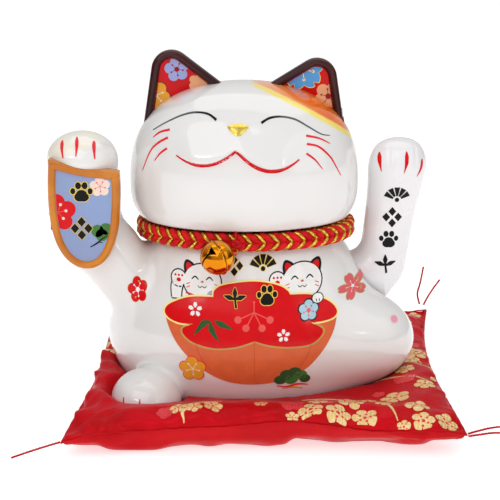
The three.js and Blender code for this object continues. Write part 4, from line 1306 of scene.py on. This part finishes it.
def kitten(paint, centre, r):
    """A small round smiling kitten with one paw raised."""
    x, z = centre

    def at(u, v):
        return (x + u * r, z + v * r)

    for u in (-1, 1):
        ear = [at(u * 0.24, 0.66), at(u * 0.6, 1.0), at(u * 0.95, 1.1), at(u * 1.1, 0.78),
               at(u * 1.02, 0.3)]
        ear = smooth_curve(ear, 5)
        paint.add(ear, "ink_black")
        inner = np.array(at(u * 0.76, 0.72)) + (ear - np.array(at(u * 0.72, 0.66))) * 0.55
        paint.add(inner, "ink_red", 1)
    head_shape = disc(centre, r * 1.08, 0.86, 30)
    paint.add(inset(head_shape, -0.95), "ink_black", 1)
    paint.add(head_shape, "ink_white", 2)
    for u in (-0.42, 0.42):
        line(paint, [at(u - 0.2, 0.1), at(u, 0.26), at(u + 0.2, 0.1)], 1.0)
        for v in (-0.08, -0.26):
            s = 1 if u > 0 else -1
            line(paint, [at(u + s * 0.28, v), at(u + s * 0.52, v - 0.1)], 0.6, "ink_scarlet")
    for end in (-1, 1):
        line(paint, [at(0.26 * end, -0.2), at(0.14 * end, -0.3), at(0, -0.22)], 0.6)
    paint.add(disc(at(0, 0), 0.09 * r, 0.7, 8), "ink_orange", 3)
    paw_at = at(-1.38, 0.1)
    sleeve = stroke([at(-1.5, -0.95), at(-1.5, -0.4), at(-1.36, 0.1)], [0.5 * r, 0.62 * r, 0.66 * r], 6)
    paint.add(inset(sleeve, -0.9), "ink_black")
    paint.add(sleeve, "ink_white", 1)
    paint.add(disc(paw_at, 0.42 * r + 0.9), "ink_black", 1)
    paint.add(disc(paw_at, 0.42 * r), "ink_white", 2)
    paint.add(disc((paw_at[0], paw_at[1] - 0.1 * r), 0.13 * r, 0.8), "ink_red", 3)
    for u in (-0.2, 0, 0.2):
        paint.add(disc((paw_at[0] + u * r, paw_at[1] + 0.14 * r), 0.065 * r, 1, 8), "ink_red", 3)


def make_belly():
    """The bowl, the kittens, the marks and the scattered flowers on the front."""
    paint = Paint(on_front(outside), 2.4)
    kitten(paint, (-31.5, 92.5), 12.6)
    kitten(paint, (41.5, 92.5), 13.2)
    paint.brush([(-43.5, 84.8), (-31, 82.4), (-20, 86.5)], [1.2, 1.5, 1.2], "ink_red", 4)
    paint.add(disc((-24, 83), 4.2), "ink_blue", 4)  # the left kitten's bib
    bowl = np.vstack([smooth_curve(BOWL, 5), [(40, 72), (6, 78), (-40, 72)]])
    paint.add(bowl, "ink_orange", 5)
    for x0, z0, x1, z1 in ((-38, 60, -25, 30), (6.4, 52, 6.6, 24), (50, 60, 38, 30)):  # the bowl's lobes
        crease = stroke([(x0, z0), (x0 + (x1 - x0) * 0.35, 42), (x1, z1)], [0.4, 0.6, 0.3])
        paint.add(crease, "ink_deep_orange", 6)
    lobes = [smooth_curve(points, 6) for points in LOBES.values()]
    for lobe, ink in zip(lobes, ["ink_pale_gold"] * 3 + ["ink_olive"] * 2):
        paint.add(inset(lobe, -1.2), ink, 6)
    for lobe in lobes:
        paint.add(lobe, "ink_red", 8)
    middle = np.array([(-38.2, 63.8), (-40, 76), (-23.2, 83.1), (-20, 88), (28, 88), (32.4, 84.1), (48, 76),
                       (47.6, 63.8), (30, 54), (6.6, 53), (-20, 54)])
    paint.add(middle, "ink_red", 8)
    for end in ((-5.4, 68), (17.8, 67.7), (0.4, 62.3), (12, 62.1), (6.2, 80)):
        paint.brush([(6.2, 73), end], [0.8, 0.8], "ink_pale_red", 9, 3)
        paint.add(disc(end, 2.6 if end[1] < 79 else 0.8), "ink_pale_red", 9)
    small_flower(paint, (-36.4, 73.8), 4.9)
    small_flower(paint, (27.5, 56.2), 4.6)
    plum(paint, (45.8, 72.4), 7.2, "ink_ice", "ink_black", "ink_pale_red", 10, 90, "ink_scarlet", 1.0)
    for tip, mid in (((-37.2, 56.2), (-30.5, 64.4)), ((-19.4, 52.4), (-24.5, 60.8)),
                     ((-9.6, 61.6), (-17.4, 64.6))):
        root = (-25.6, 66.4) if tip[0] < -15 else (-22.4, 67)
        paint.brush([root, mid, tip], [0.8, 4.6, 0.4], "ink_green", 10)
    for centre, mark in (((-7.6, 83.8), leaf_mark), ((15.6, 83.8), paw_mark)):
        mark(paint, centre, 8.4, 11)
    for centre, mark in (((-8.2, 104.2), lattice_mark), ((12.8, 106), fan_mark)):
        mark(paint, centre, 7.6, 2)
    paint.add(disc(CUP_AT, 4.5, 0.85), "ink_black", 12)
    paint.add(disc(CUP_AT, 3.8, 0.85), "ink_white", 13)
    for x in (51.4, 53.6):
        line(paint, [(x, 79.6), (x + 0.3, 77.6)], 0.6, layer=14)
    plum(paint, (-38.4, 30.4), 9.6, "ink_amber", "ink_scarlet", None, 8, 95, "ink_soft_pink", 0.7)
    for x, z, r, ink in ((-8, -2.5, 4.6, "ink_green"), (-3.4, 1.6, 5.0, "ink_green"),
                         (2.4, 3.2, 5.0, "ink_green"), (7, 0.4, 4.8, "ink_moss"),
                         (10.2, -3, 4.0, "ink_green"), (0, -2.6, 5, "ink_moss")):
        paint.add(disc((33.4 + x, 24.6 + z), r, 0.8), ink, 8)
    paint.brush([(23, 17.2), (30, 16), (38, 17.4), (46, 16.2)], [0.4, 1.1, 1.2, 0.4], "ink_scarlet", 8)
    paint.brush([(27, 14.6), (35, 15.4), (42, 13.8)], [0.3, 0.9, 0.3], "ink_amber", 8)
    paint.warp = squeezed(RED_PLUM_AT, (0.76, 1))
    plum(paint, RED_PLUM_AT, 9.8, "ink_red", "ink_olive", "ink_white", 0, 100, "ink_white", 0.35, 0.8)
    paint.warp = squeezed(SAKURA_AT, (1, 0.74))
    sakura = petals(SAKURA_AT, 11.8, turn=112, depth=0.74, power=0.9, notch=0.16, steps=20)
    paint.add(inset(sakura, -0.55), "ink_olive", 0)
    paint.add(sakura, "ink_pink", 1)
    stamens(paint, SAKURA_AT, 4.6, "ink_soft_pink", 112, 0.5, 0.35, 2)
    paint.add(disc(SAKURA_AT, 1.2), "ink_white", 3)
    paint.warp = None
    for r, ink in ((4.2, "ink_blush"), (2.9, "ink_pale_pink")):
        paint.add(turned_by(disc(BLUSH_AT, r, 0.72), BLUSH_AT, -35), ink, 0 if r > 4 else 1)
    paint.piece("belly_paint")


make_belly()


# ---------------------------------------------------------------- braided collar
PITCHES = 44


def rope_point(s, phi, reach):
    """A point beside the rope's centre line: s is the share of the ring, phi 0 outward and 90 up."""
    angle = np.interp(np.mod(s, 1), ROPE_SHARES, ROPE_ANGLES)
    normal = np.stack([np.cos(angle) * ROPE["ry"], np.sin(angle) * ROPE["rx"]], -1)
    normal /= np.linalg.norm(normal, axis=-1)[..., None]
    out, up = reach * np.cos(phi), reach * np.sin(phi)
    return np.stack([
        ROPE["rx"] * np.cos(angle) + out * normal[..., 0],
        ROPE["ry"] * np.sin(angle) + out * normal[..., 1],
        ROPE["z"] + up,
    ], -1)


ROPE_ANGLES = np.linspace(0, 2 * math.pi, 721)
ROPE_RUN = np.hypot(np.diff(ROPE["rx"] * np.cos(ROPE_ANGLES)), np.diff(ROPE["ry"] * np.sin(ROPE_ANGLES)))
ROPE_SHARES = np.concatenate([[0], np.cumsum(ROPE_RUN)]) / ROPE_RUN.sum()


def plait_lobe(start, phi_from, phi_to, lean, width, thick, reach, sides=10, rows=9):
    """One visible piece of strand, which rises from under its neighbours and dips again."""
    t = np.linspace(0, 1, rows)
    phi = np.radians(phi_from + (phi_to - phi_from) * t)
    share = start + lean * t
    swell = np.sin(math.pi * np.clip(t, 0.02, 0.98)) ** 0.55
    angle = around(sides)
    rings = []
    for p, s, b in zip(phi, share, swell):
        along_rope = width / 2 * (0.45 + 0.55 * b) * np.cos(angle) / ROPE_RUN.sum()
        depth = reach - thick * (1.15 - b) + thick / 2 * (0.5 + 0.5 * b) * np.sin(angle)
        skew = p + np.zeros(sides)
        rings.append(rope_point(s + along_rope, skew, depth))
    return loft(rings)


def make_collar():
    """The braid: four rows of red lobes with a gold thread between each two."""
    pitch = 1 / PITCHES
    reds, golds = [], []
    for i in range(PITCHES):
        for row in range(4):
            middle = 45 + 90 * row
            up_row = row in (0, 2)
            a, b = (middle + 56, middle - 50) if up_row else (middle - 56, middle + 50)
            start = i * pitch + (0.5 * pitch if row in (1, 2) else 0)
            direction = -1 if row in (0, 3) else 1
            lean = -direction * 0.95 * pitch
            reds.append(plait_lobe(start, a, b, lean, 6.6, 3.6, 6.6))
            golds.append(plait_lobe(start + 0.5 * pitch, a, b, lean, 3.6, 2.6, 6.75, 8, 7))
    core = [rope_point(np.full(14, share), around(14), 4.6) for share in np.linspace(0, 1, 121)[:-1]]
    points, faces = loft([*core, core[0]], capped=False)
    rope = [("collar_plaits", [*reds, (points, faces)], "plait_red"),
            ("collar_gold_thread", golds, "plait_gold")]
    for name, shapes, look in rope:
        at, polygons = merged(shapes)
        piece = new_object(name, place(at), polygons, [look], "figurine")
        face_out(piece)
        if look == "plait_red":
            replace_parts(piece, "collar_rope")


make_collar()


# ---------------------------------------------------------------- bell
BELL = {"at": np.array([-20.0, -77.0, 115.0]), "r": 12.5, "wall": 0.9}
BELL_AXIS = np.array(unit((0.85, 0.45, 0.25)))
HOLE_WAY = np.array([-0.21, -0.756, 0.62])  # from the bell's middle to the big end of its slot
BELL_UP = HOLE_WAY - BELL_AXIS * (HOLE_WAY @ BELL_AXIS)
BELL_UP /= np.linalg.norm(BELL_UP)
BELL_SIDE = np.cross(BELL_UP, BELL_AXIS)
SLOT = {"half_width": 0.7, "half_length": 10, "eye_at": 12.6}
LOOP = {"r": 2.2, "wire": 0.55}
LOOP_AT = BELL["at"] + BELL_AXIS * (BELL["r"] + LOOP["r"] - LOOP["wire"])
TIE_X = -7
TIE_R = 9.35  # the thread's turn round the rope
TIE_AT = np.array([TIE_X, -ROPE["ry"] * math.sqrt(1 - (TIE_X / ROPE["rx"]) ** 2), ROPE["z"]])
KNOT = TIE_AT + (0, -10.6, 0.6)


def bell_half(side):
    """Half of the hollow ball: u and v run across it and w along its axis."""

    def field(u, v, w):
        ball = np.sqrt(u**2 + v**2 + w**2)
        rim = np.hypot(np.hypot(u, v) - BELL["r"], w) - 0.75
        shell = np.maximum(join_smooth(ball - BELL["r"], rim, 0.5), BELL["r"] - BELL["wall"] - ball)
        shell = np.maximum(shell, 0.12 - side * w)
        if side < 0:
            slot = np.maximum(np.abs(u) - SLOT["half_width"], np.abs(v) - SLOT["half_length"])
            for end in (-1, 1):
                # a rounded triangle, its point towards the slot
                tall = end * np.arctan2(v, -w) * BELL["r"] - SLOT["eye_at"]
                eye = np.maximum(np.abs(u) * 0.86 - tall * 0.6 - 1.8, tall - 2.5)
                slot = np.minimum(slot, np.where(end * v > 0, eye, 9))
            shell = np.maximum(shell, -np.maximum(slot, w))
        return shell

    return field


def make_bell():
    """Cap and cup, dark inside, and the wire loop on the cap."""
    basis = np.stack([BELL_SIDE, BELL_UP, BELL_AXIS])
    reach = BELL["r"] + 1.4
    for name, side, node_name in (("bell_cap_shell", 1, "bell_cap"), ("bell_cup_shell", -1, "bell_cup")):
        low, high = (-1.2, reach) if side > 0 else (-reach, 1.2)
        points, faces = surface_net(bell_half(side), (-reach, -reach, low), (reach, reach, high), 0.42)
        shapes = [(points @ basis + BELL["at"], faces.tolist())]
        if side > 0:
            turn = np.linspace(0, 2 * math.pi, 29)[:, None]
            ring = LOOP_AT + LOOP["r"] * (np.cos(turn) * BELL_AXIS + np.sin(turn) * BELL_SIDE)
            shapes.append(tube(ring, LOOP["wire"], 10))
        at, polygons = merged(shapes)
        piece = new_object(name, place(at), polygons, ["bell_gold", "bell_dark"], "bell")
        face_out(piece)
        piece.data.set_sharp_from_angle(angle=math.radians(60))
        middle = Vector(place(BELL["at"][None])[0])
        for face in piece.data.polygons:
            if (face.center - middle).length < (BELL["r"] - BELL["wall"] * 0.7) * MM:
                face.material_index = 1
        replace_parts(piece, node_name)


def make_tie():
    """The red thread that ties the bell to the rope, with its knot and two cut ends."""
    turn = np.linspace(0, 2 * math.pi, 61)
    ring = TIE_AT + TIE_R * np.stack([0 * turn, np.cos(turn), np.sin(turn)], 1)
    bight = smooth_curve([KNOT, (-7.6, -70.4, 120.6), LOOP_AT, (-7.6, -69.8, 116.3), (TIE_X, -65.2, 115.6)],
                         8)
    u = np.linspace(0, 2 * math.pi, 60)
    wide = 1.9 + 0.9 * np.cos(3 * u)
    knot = KNOT + np.stack([wide * np.cos(2 * u), 1.0 * np.sin(3 * u), wide * np.sin(2 * u)], 1)
    ends = [
        smooth_curve([KNOT, KNOT + (1.6, -0.6, -1.4), KNOT + (2.2, -0.4, -4.2)], 6),
        smooth_curve([KNOT, KNOT + (-0.6, -0.8, 1.6), KNOT + (0.8, -0.2, 3.4)], 6),
    ]
    shapes = [twisted(ring, 0.85, 3, 4), twisted(bight, 0.6, 2, 3), tube(knot, 1.0, 8)]
    shapes += [twisted(end, 0.55, 2, 3, taper=0.4) for end in ends]
    at, polygons = merged(shapes)
    piece = new_object("bell_thread_tie", place(at), polygons, ["thread_red"], "bell_tie")
    face_out(piece)
    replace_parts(piece, "bell_tie")


make_bell()
make_tie()


# ---------------------------------------------------------------- cushion
CUSHION = {"half_x": 141.5, "half_y": 135, "waist": 12, "seam": 25, "roll": 3.2, "valley": 18}
CLOTH_POINTS = 71
MOST_SWELL = {"top": 5.0, "bottom": 2.4}
FLAP_X = 16  # right of here the front of the underside stays off the table
CORNER_AT = {(1, 1): 30, (-1, 1): 26, (1, -1): 17, (-1, -1): 11}


def front_dip(u, v):
    """How far the front seam hangs below the arch, under the cat's weight."""
    wave = 4.4 * np.exp(-(((u + 0.38) / 0.36) ** 4)) + 5.4 * np.exp(-(((u - 0.54) / 0.26) ** 2))
    return wave * np.clip(-v, 0, 1) ** 6


def seam_height(u, v):
    """The sewn edge arches up between the four pulled-out corners."""
    corner = sum(
        high * np.clip(0.5 + a * u / 2, 0, 1) * np.clip(0.5 + b * v / 2, 0, 1)
        for (a, b), high in CORNER_AT.items()
    )
    share = np.abs(u * v) ** 3
    return CUSHION["seam"] * (1 - share) + corner * share - front_dip(u, v)


def seam_plan(u, v):
    """Where a point of the unit square lies: the sides pull in between the corners."""
    x = u * (CUSHION["half_x"] - CUSHION["waist"] * (1 - v * v))
    x = x + np.maximum(0, -u) ** 2 * (15 * np.maximum(0, v) ** 2 + 5 * (1 - v * v))
    y = v * (CUSHION["half_y"] - CUSHION["waist"] * 0.5 * (1 - u * u))
    return x, y


def cat_underside(x, y):
    """The lowest height of the cat above each point of the table, in millimetres above it."""
    levels = np.arange(0.2, 34, 1.0)
    lowest = np.full(x.shape, 99.0)
    for z in levels[::-1]:
        inside = outside(x - CAT_AT[0], y - CAT_AT[1], np.full(x.shape, z)) < 0.8
        lowest = np.where(inside, z, lowest)
    return lowest + CAT_AT[2] - 0.5


def cushion_cover():
    """Two square sheets, top and bottom, that share their sewn edge."""
    line_of = np.linspace(-1, 1, CLOTH_POINTS)
    line_of = line_of * (1.3 - 0.3 * line_of**2)  # closer together near the seam
    u, v = np.meshgrid(line_of, line_of, indexing="ij")
    x, y = seam_plan(u, v)
    seam = seam_height(u, v)
    inward = np.minimum((1 - np.abs(u)) * CUSHION["half_x"], (1 - np.abs(v)) * CUSHION["half_y"])
    rise = (CUSHION["roll"] + front_dip(u, v)) * np.sqrt(1 - (1 - np.clip(inward / 17, 0, 1)) ** 2)
    pressed = fade(inward, 13, 60)
    top = (seam + rise) * (1 - pressed) + CUSHION["valley"] * pressed
    top = np.minimum(top, cat_underside(x, y))
    hang = 4.5 * fade(x, FLAP_X - 1, FLAP_X + 2) * fade(-v, 0.6, 0.9) * (1 - fade(inward, 26, 52))
    round_in = np.clip(1 - inward / 27, 0, 1)
    bottom = hang + (seam - hang) * (1 - np.sqrt(1 - round_in**2))
    return u, v, x, y, top, bottom


def make_cushion():
    """The cover as one closed mesh, blown up as cloth, settled under the cat and smoothed."""
    u, v, x, y, top, bottom = cushion_cover()
    n = u.shape[0]
    border = np.maximum(np.abs(u), np.abs(v)) > 0.9999
    top_index = np.arange(n * n).reshape(n, n)
    bottom_index = np.full((n, n), -1)
    bottom_index[~border] = n * n + np.arange((~border).sum())
    bottom_index[border] = top_index[border]
    points = np.vstack([
        np.stack([x.ravel(), y.ravel(), top.ravel()], 1),
        np.stack([x[~border], y[~border], bottom[~border]], 1),
    ])
    faces = []
    for i in range(n - 1):
        for j in range(n - 1):
            faces.append([top_index[i, j], top_index[i + 1, j], top_index[i + 1, j + 1],
                          top_index[i, j + 1]])
            faces.append([bottom_index[i, j], bottom_index[i, j + 1], bottom_index[i + 1, j + 1],
                          bottom_index[i + 1, j]])
    # the underside takes the plain satin, its darker tone painted shade under the roll
    piece = new_object("satin_cushion", points * MM, faces, ["satin", "satin_plain_shaded"], "cushion")
    piece.data.polygons.foreach_set("material_index", [0, 1] * (len(faces) // 2))
    rest = points.copy()
    swell(piece, [int(i) for i in top_index[border]])
    points = np.array([vertex.co for vertex in piece.data.vertices]) / MM
    move = points - rest
    size = np.linalg.norm(move, axis=1)
    reach = np.where(np.arange(len(rest)) < n * n, MOST_SWELL["top"], MOST_SWELL["bottom"])
    points = rest + move * np.minimum(1, reach / np.maximum(size, 1e-6))[:, None]
    points = settle_cloth(points, n * n, u, v, border)
    piece.data.vertices.foreach_set("co", (points * MM).ravel())
    piece.data.update()
    finer = piece.modifiers.new("finer", "SUBSURF")
    finer.levels = finer.render_levels = 1
    apply_modifiers(piece)
    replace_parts(piece, "cushion")
    return piece


def apply_modifiers(piece):
    """Keeps the evaluated mesh in place of the modifiers."""
    bpy.context.view_layer.update()
    evaluated = piece.evaluated_get(bpy.context.evaluated_depsgraph_get())
    made = bpy.data.meshes.new_from_object(evaluated)
    old = piece.data
    piece.modifiers.clear()
    piece.data = made
    bpy.data.meshes.remove(old)


def swell(piece, pinned):
    """Blows the cover up as cloth, its sewn edge held, and keeps the result."""
    held = piece.vertex_groups.new(name="sewn_edge")
    held.add(pinned, 1.0, "ADD")
    cloth = piece.modifiers.new("swell", "CLOTH")
    settings = cloth.settings
    settings.use_pressure = True
    settings.uniform_pressure_force = 4
    settings.effector_weights.gravity = 0
    settings.vertex_group_mass = "sewn_edge"
    settings.shrink_min = -0.05
    settings.tension_stiffness = 15
    settings.bending_stiffness = 0.3
    settings.quality = 6
    cloth.collision_settings.use_collision = False
    cloth.point_cache.frame_start, cloth.point_cache.frame_end = 1, 20
    for step in range(1, 21):
        bpy.context.scene.frame_set(step)
    apply_modifiers(piece)
    bpy.context.scene.frame_set(1)


def settle_cloth(points, top_count, u, v, border):
    """Adds the puckers and pulls of the weight, then keeps the cloth off the cat and the table."""
    x, y, z = points.T.copy()
    top = np.arange(len(points)) < top_count
    uu = np.concatenate([u.ravel(), u[~border]])
    vv = np.concatenate([v.ravel(), v[~border]])
    edge = np.maximum(np.abs(uu), np.abs(vv))
    near_edge = fade(edge, 0.6, 0.93) * (1 - fade(edge, 0.965, 1.0))
    along = np.where(np.abs(uu) > np.abs(vv), y, x)
    pucker = np.sin(along / 6.1 + 1.3 * np.sin(along / 17)) * np.sin(along / 31 + 0.5)
    z += np.where(top, 0.8, 0.15) * pucker * near_edge
    left = fade(-uu, 0.55, 0.95) * (1 - fade(edge, 0.985, 1.0)) * fade(y, -125, -95)
    folds = np.sin((x * 0.8 + y) / 4.9 + 1.2 * np.sin(y / 23)) * left
    z += np.where(top, 1.7, 0.4) * folds
    angle = np.arctan2(y, x - CAT_AT[0])
    away = np.hypot((x - CAT_AT[0]) / 100, y / 76)
    pull = np.sin(angle * 17 + 2 * np.sin(3 * angle)) * fade(away, 1.0, 1.1) * (1 - fade(away, 1.1, 1.5))
    z += np.where(top, 0.7, 0) * pull
    ceiling = cat_underside(x, y)
    z = np.where(top, np.minimum(z, ceiling), z)
    z = np.where(top, z, np.maximum(z, 0.2))
    floor_part = ~top & (edge < 0.66)
    z = np.where(floor_part, np.minimum(z, 0.25), z)
    # the cloth rolls out over the seam from above and below
    inward = np.minimum((1 - np.abs(uu)) * CUSHION["half_x"], (1 - np.abs(vv)) * CUSHION["half_y"])
    over = np.where(top, 3.6 * np.sin(math.pi * np.clip(inward / 15, 0, 1)),
                    3.4 * np.sin(math.pi * np.clip(inward / 22, 0, 1)))
    out = np.stack([uu**9, vv**9], 1)
    out /= np.maximum(np.linalg.norm(out, axis=1), 1e-9)[:, None]
    x += over * out[:, 0] * (edge > 0.5)
    y += over * out[:, 1] * (edge > 0.5)
    return np.stack([x, y, z], 1)


def make_seam():
    """The sewn edge: a slim welt round the cushion, with its puckered stitches."""
    t = np.linspace(-1, 1, 140)
    ones = np.ones_like(t)
    sides = [(t, -ones), (ones, t), (-t, ones), (-ones, -t)]
    u = np.concatenate([a[:-1] for a, _ in sides])
    v = np.concatenate([b[:-1] for _, b in sides])
    x, y = seam_plan(u, v)
    line_at = np.stack([x, y, seam_height(u, v)], 1)
    ahead = np.roll(line_at, -1, 0) - np.roll(line_at, 1, 0)
    out = normalised(np.stack([ahead[:, 1], -ahead[:, 0], 0 * x], 1))
    up = np.array([0, 0, 1.0])
    angle = around(8)
    ripple = 0.2 * np.sin(np.arange(len(x)) * 1.1)
    rings = [
        at + (1.0 * np.cos(angle)[:, None]) * o + ((0.55 * np.sin(angle))[:, None] + r) * up
        for at, o, r in zip(line_at, out, ripple)
    ]
    points, faces = loft([*rings, rings[0]], capped=False)
    # the welt takes the darker plain satin: painted shade along the seam crease
    piece = new_object("cushion_seam", points * MM, faces, ["satin_plain_shaded"], "cushion")
    face_out(piece)


def on_cloth(cushion):
    """Puts flat (x, y) points on top of the cushion, in millimetres in the row frame."""
    tree = BVHTree.FromPolygons(
        [vertex.co.copy() for vertex in cushion.data.vertices],
        [tuple(p.vertices) for p in cushion.data.polygons]
    )

    def put(flat):
        at, normals = [], []
        for x, y in flat:
            hit, normal, *_ = tree.ray_cast(Vector((x * MM, y * MM, 0.2)), Vector((0, 0, -1)))
            if hit is None:
                hit, normal, *_ = tree.find_nearest(Vector((x * MM, y * MM, 0.02)))
            at.append(tuple(hit / MM))
            normals.append(tuple(normal if normal.z > 0 else -normal))
        return np.array(at), np.array(normals)

    return put


GOLD_FLOWERS = [
    (33, -124.5, 9.2), (52, -125.5, 9.2), (71, -126, 9.4), (62, -107, 9.8), (39, -107, 7.5), (60, -86, 7),
    (76, -88, 6), (96, -84, 11), (109, -109, 9.4), (112, -128.5, 8.4), (129, -124, 8.4), (119, -68, 8),
    (131, -52, 7), (108, -32, 7.5), (118, 2, 7), (128, 122, 8), (-36, -116, 7), (-49, -120, 6),
    (-60, -120, 6), (-2, -113, 5), (98, -132.5, 5), (20, -128, 5), (85, -107, 6),
]
ROSE_FLOWERS = [(20, -112, 10), (106, -52, 9), (-70, -122, 6), (46, -110, 5), (85, -70, 5)]
BRANCHES = [
    [(77, -95), (84, -105), (90, -116), (94, -128)], [(84, -34), (98, -42), (110, -50), (122, -60)],
    [(98, -12), (110, -16), (122, -24), (130, -36)], [(28, -88), (46, -82), (62, -84), (80, -90)],
    [(-68, -120), (-58, -117), (-46, -112), (-30, -101)], [(-56, -131), (-57, -125), (-51, -119)],
]


def gold_flower(paint, centre, r, turn, gold):
    """A brocade blossom: five petals, an eye and five dots."""
    paint.add(petals(centre, r, turn=turn, depth=0.3), gold, 1)
    paint.add(disc(centre, r * 0.16, steps=10), "brocade_rose", 2)
    for i in range(5):
        dot, root, tip = (polar(centre, share * r, turn + 36 + 72 * i) for share in (0.42, 0.55, 0.82))
        paint.add(disc(dot, r * 0.11, steps=8), "brocade_rose", 2)
        paint.brush([root, tip], [0.03 * r, 0.14 * r], "satin", 2, 4)


def make_brocade(cushion):
    """The woven gold pattern: dense sprays at the right front, and scattered ones on the other sides."""
    draw = random.Random(7)
    paint = Paint(on_cloth(cushion), 1.6, 0.05, 0.34)

    def wrap(outline):
        """Follows the cloth down the front roll and stops at the seam."""
        x, y = outline.T
        deep = seam_plan(np.clip(x / CUSHION["half_x"], -1, 1), np.ones_like(x))[1]
        along = np.maximum(y + deep + 5, 0.5)
        y = np.where(y < -60, along - deep - 5 * (1 - np.exp(-along / 6)), y)
        for _ in range(2):
            u, v = np.clip(x / CUSHION["half_x"], -1, 1), np.clip(y / CUSHION["half_y"], -1, 1)
            wide, deep = seam_plan(np.ones_like(v), v)[0] - 2.5, seam_plan(u, np.ones_like(u))[1] - 0.9
            x, y = np.clip(x, -wide, wide), np.clip(y, -deep, deep)
        return np.stack([x, y], 1)

    paint.warp = wrap
    for route in BRANCHES:
        paint.brush(route, [0.9, 2.2, 2.0, 0.7], "brocade_gold", 0)
    for x, y, r in ROSE_FLOWERS:
        paint.add(petals((x, y), r, turn=draw.uniform(0, 72), depth=0.26), "brocade_rose", 0)
    for x, y, r in GOLD_FLOWERS:
        gold_flower(paint, (x, y), r, draw.uniform(0, 72), "brocade_gold")
    sprays = [(118, 4, 100), (112, 96, 60), (60, 112, 10), (-20, 116, 175), (-78, 98, 140), (-110, 26, 95)]
    for x, y, lean in sprays:
        a = math.radians(lean)
        along, side = np.array([math.cos(a), math.sin(a)]), np.array([-math.sin(a), math.cos(a)])
        at = np.array([x, y], float)
        paint.add(stroke([at - along * 22, at - along * 8 + side * 3, at + along * 8 - side * 2,
                          at + along * 22],
                         [0.8, 2.2, 2.0, 0.6], 8), "brocade_gold", 0)
        for k, (t, s, r) in enumerate(((-14, 7, 7.5), (-2, -6, 9), (11, 6, 8), (21, -4, 6))):
            flower_at = at + along * t + side * s
            if k == 3:
                paint.add(petals(flower_at, r + 1, turn=draw.uniform(0, 72), depth=0.26), "brocade_rose", 0)
            else:
                gold_flower(paint, flower_at, r, draw.uniform(0, 72), "brocade_gold")
    paint.piece("cushion_brocade", "cushion", "satin_brocade", lambda points: points * MM)


cushion_piece = make_cushion()
make_seam()
make_brocade(cushion_piece)
dress_cad_nodes()
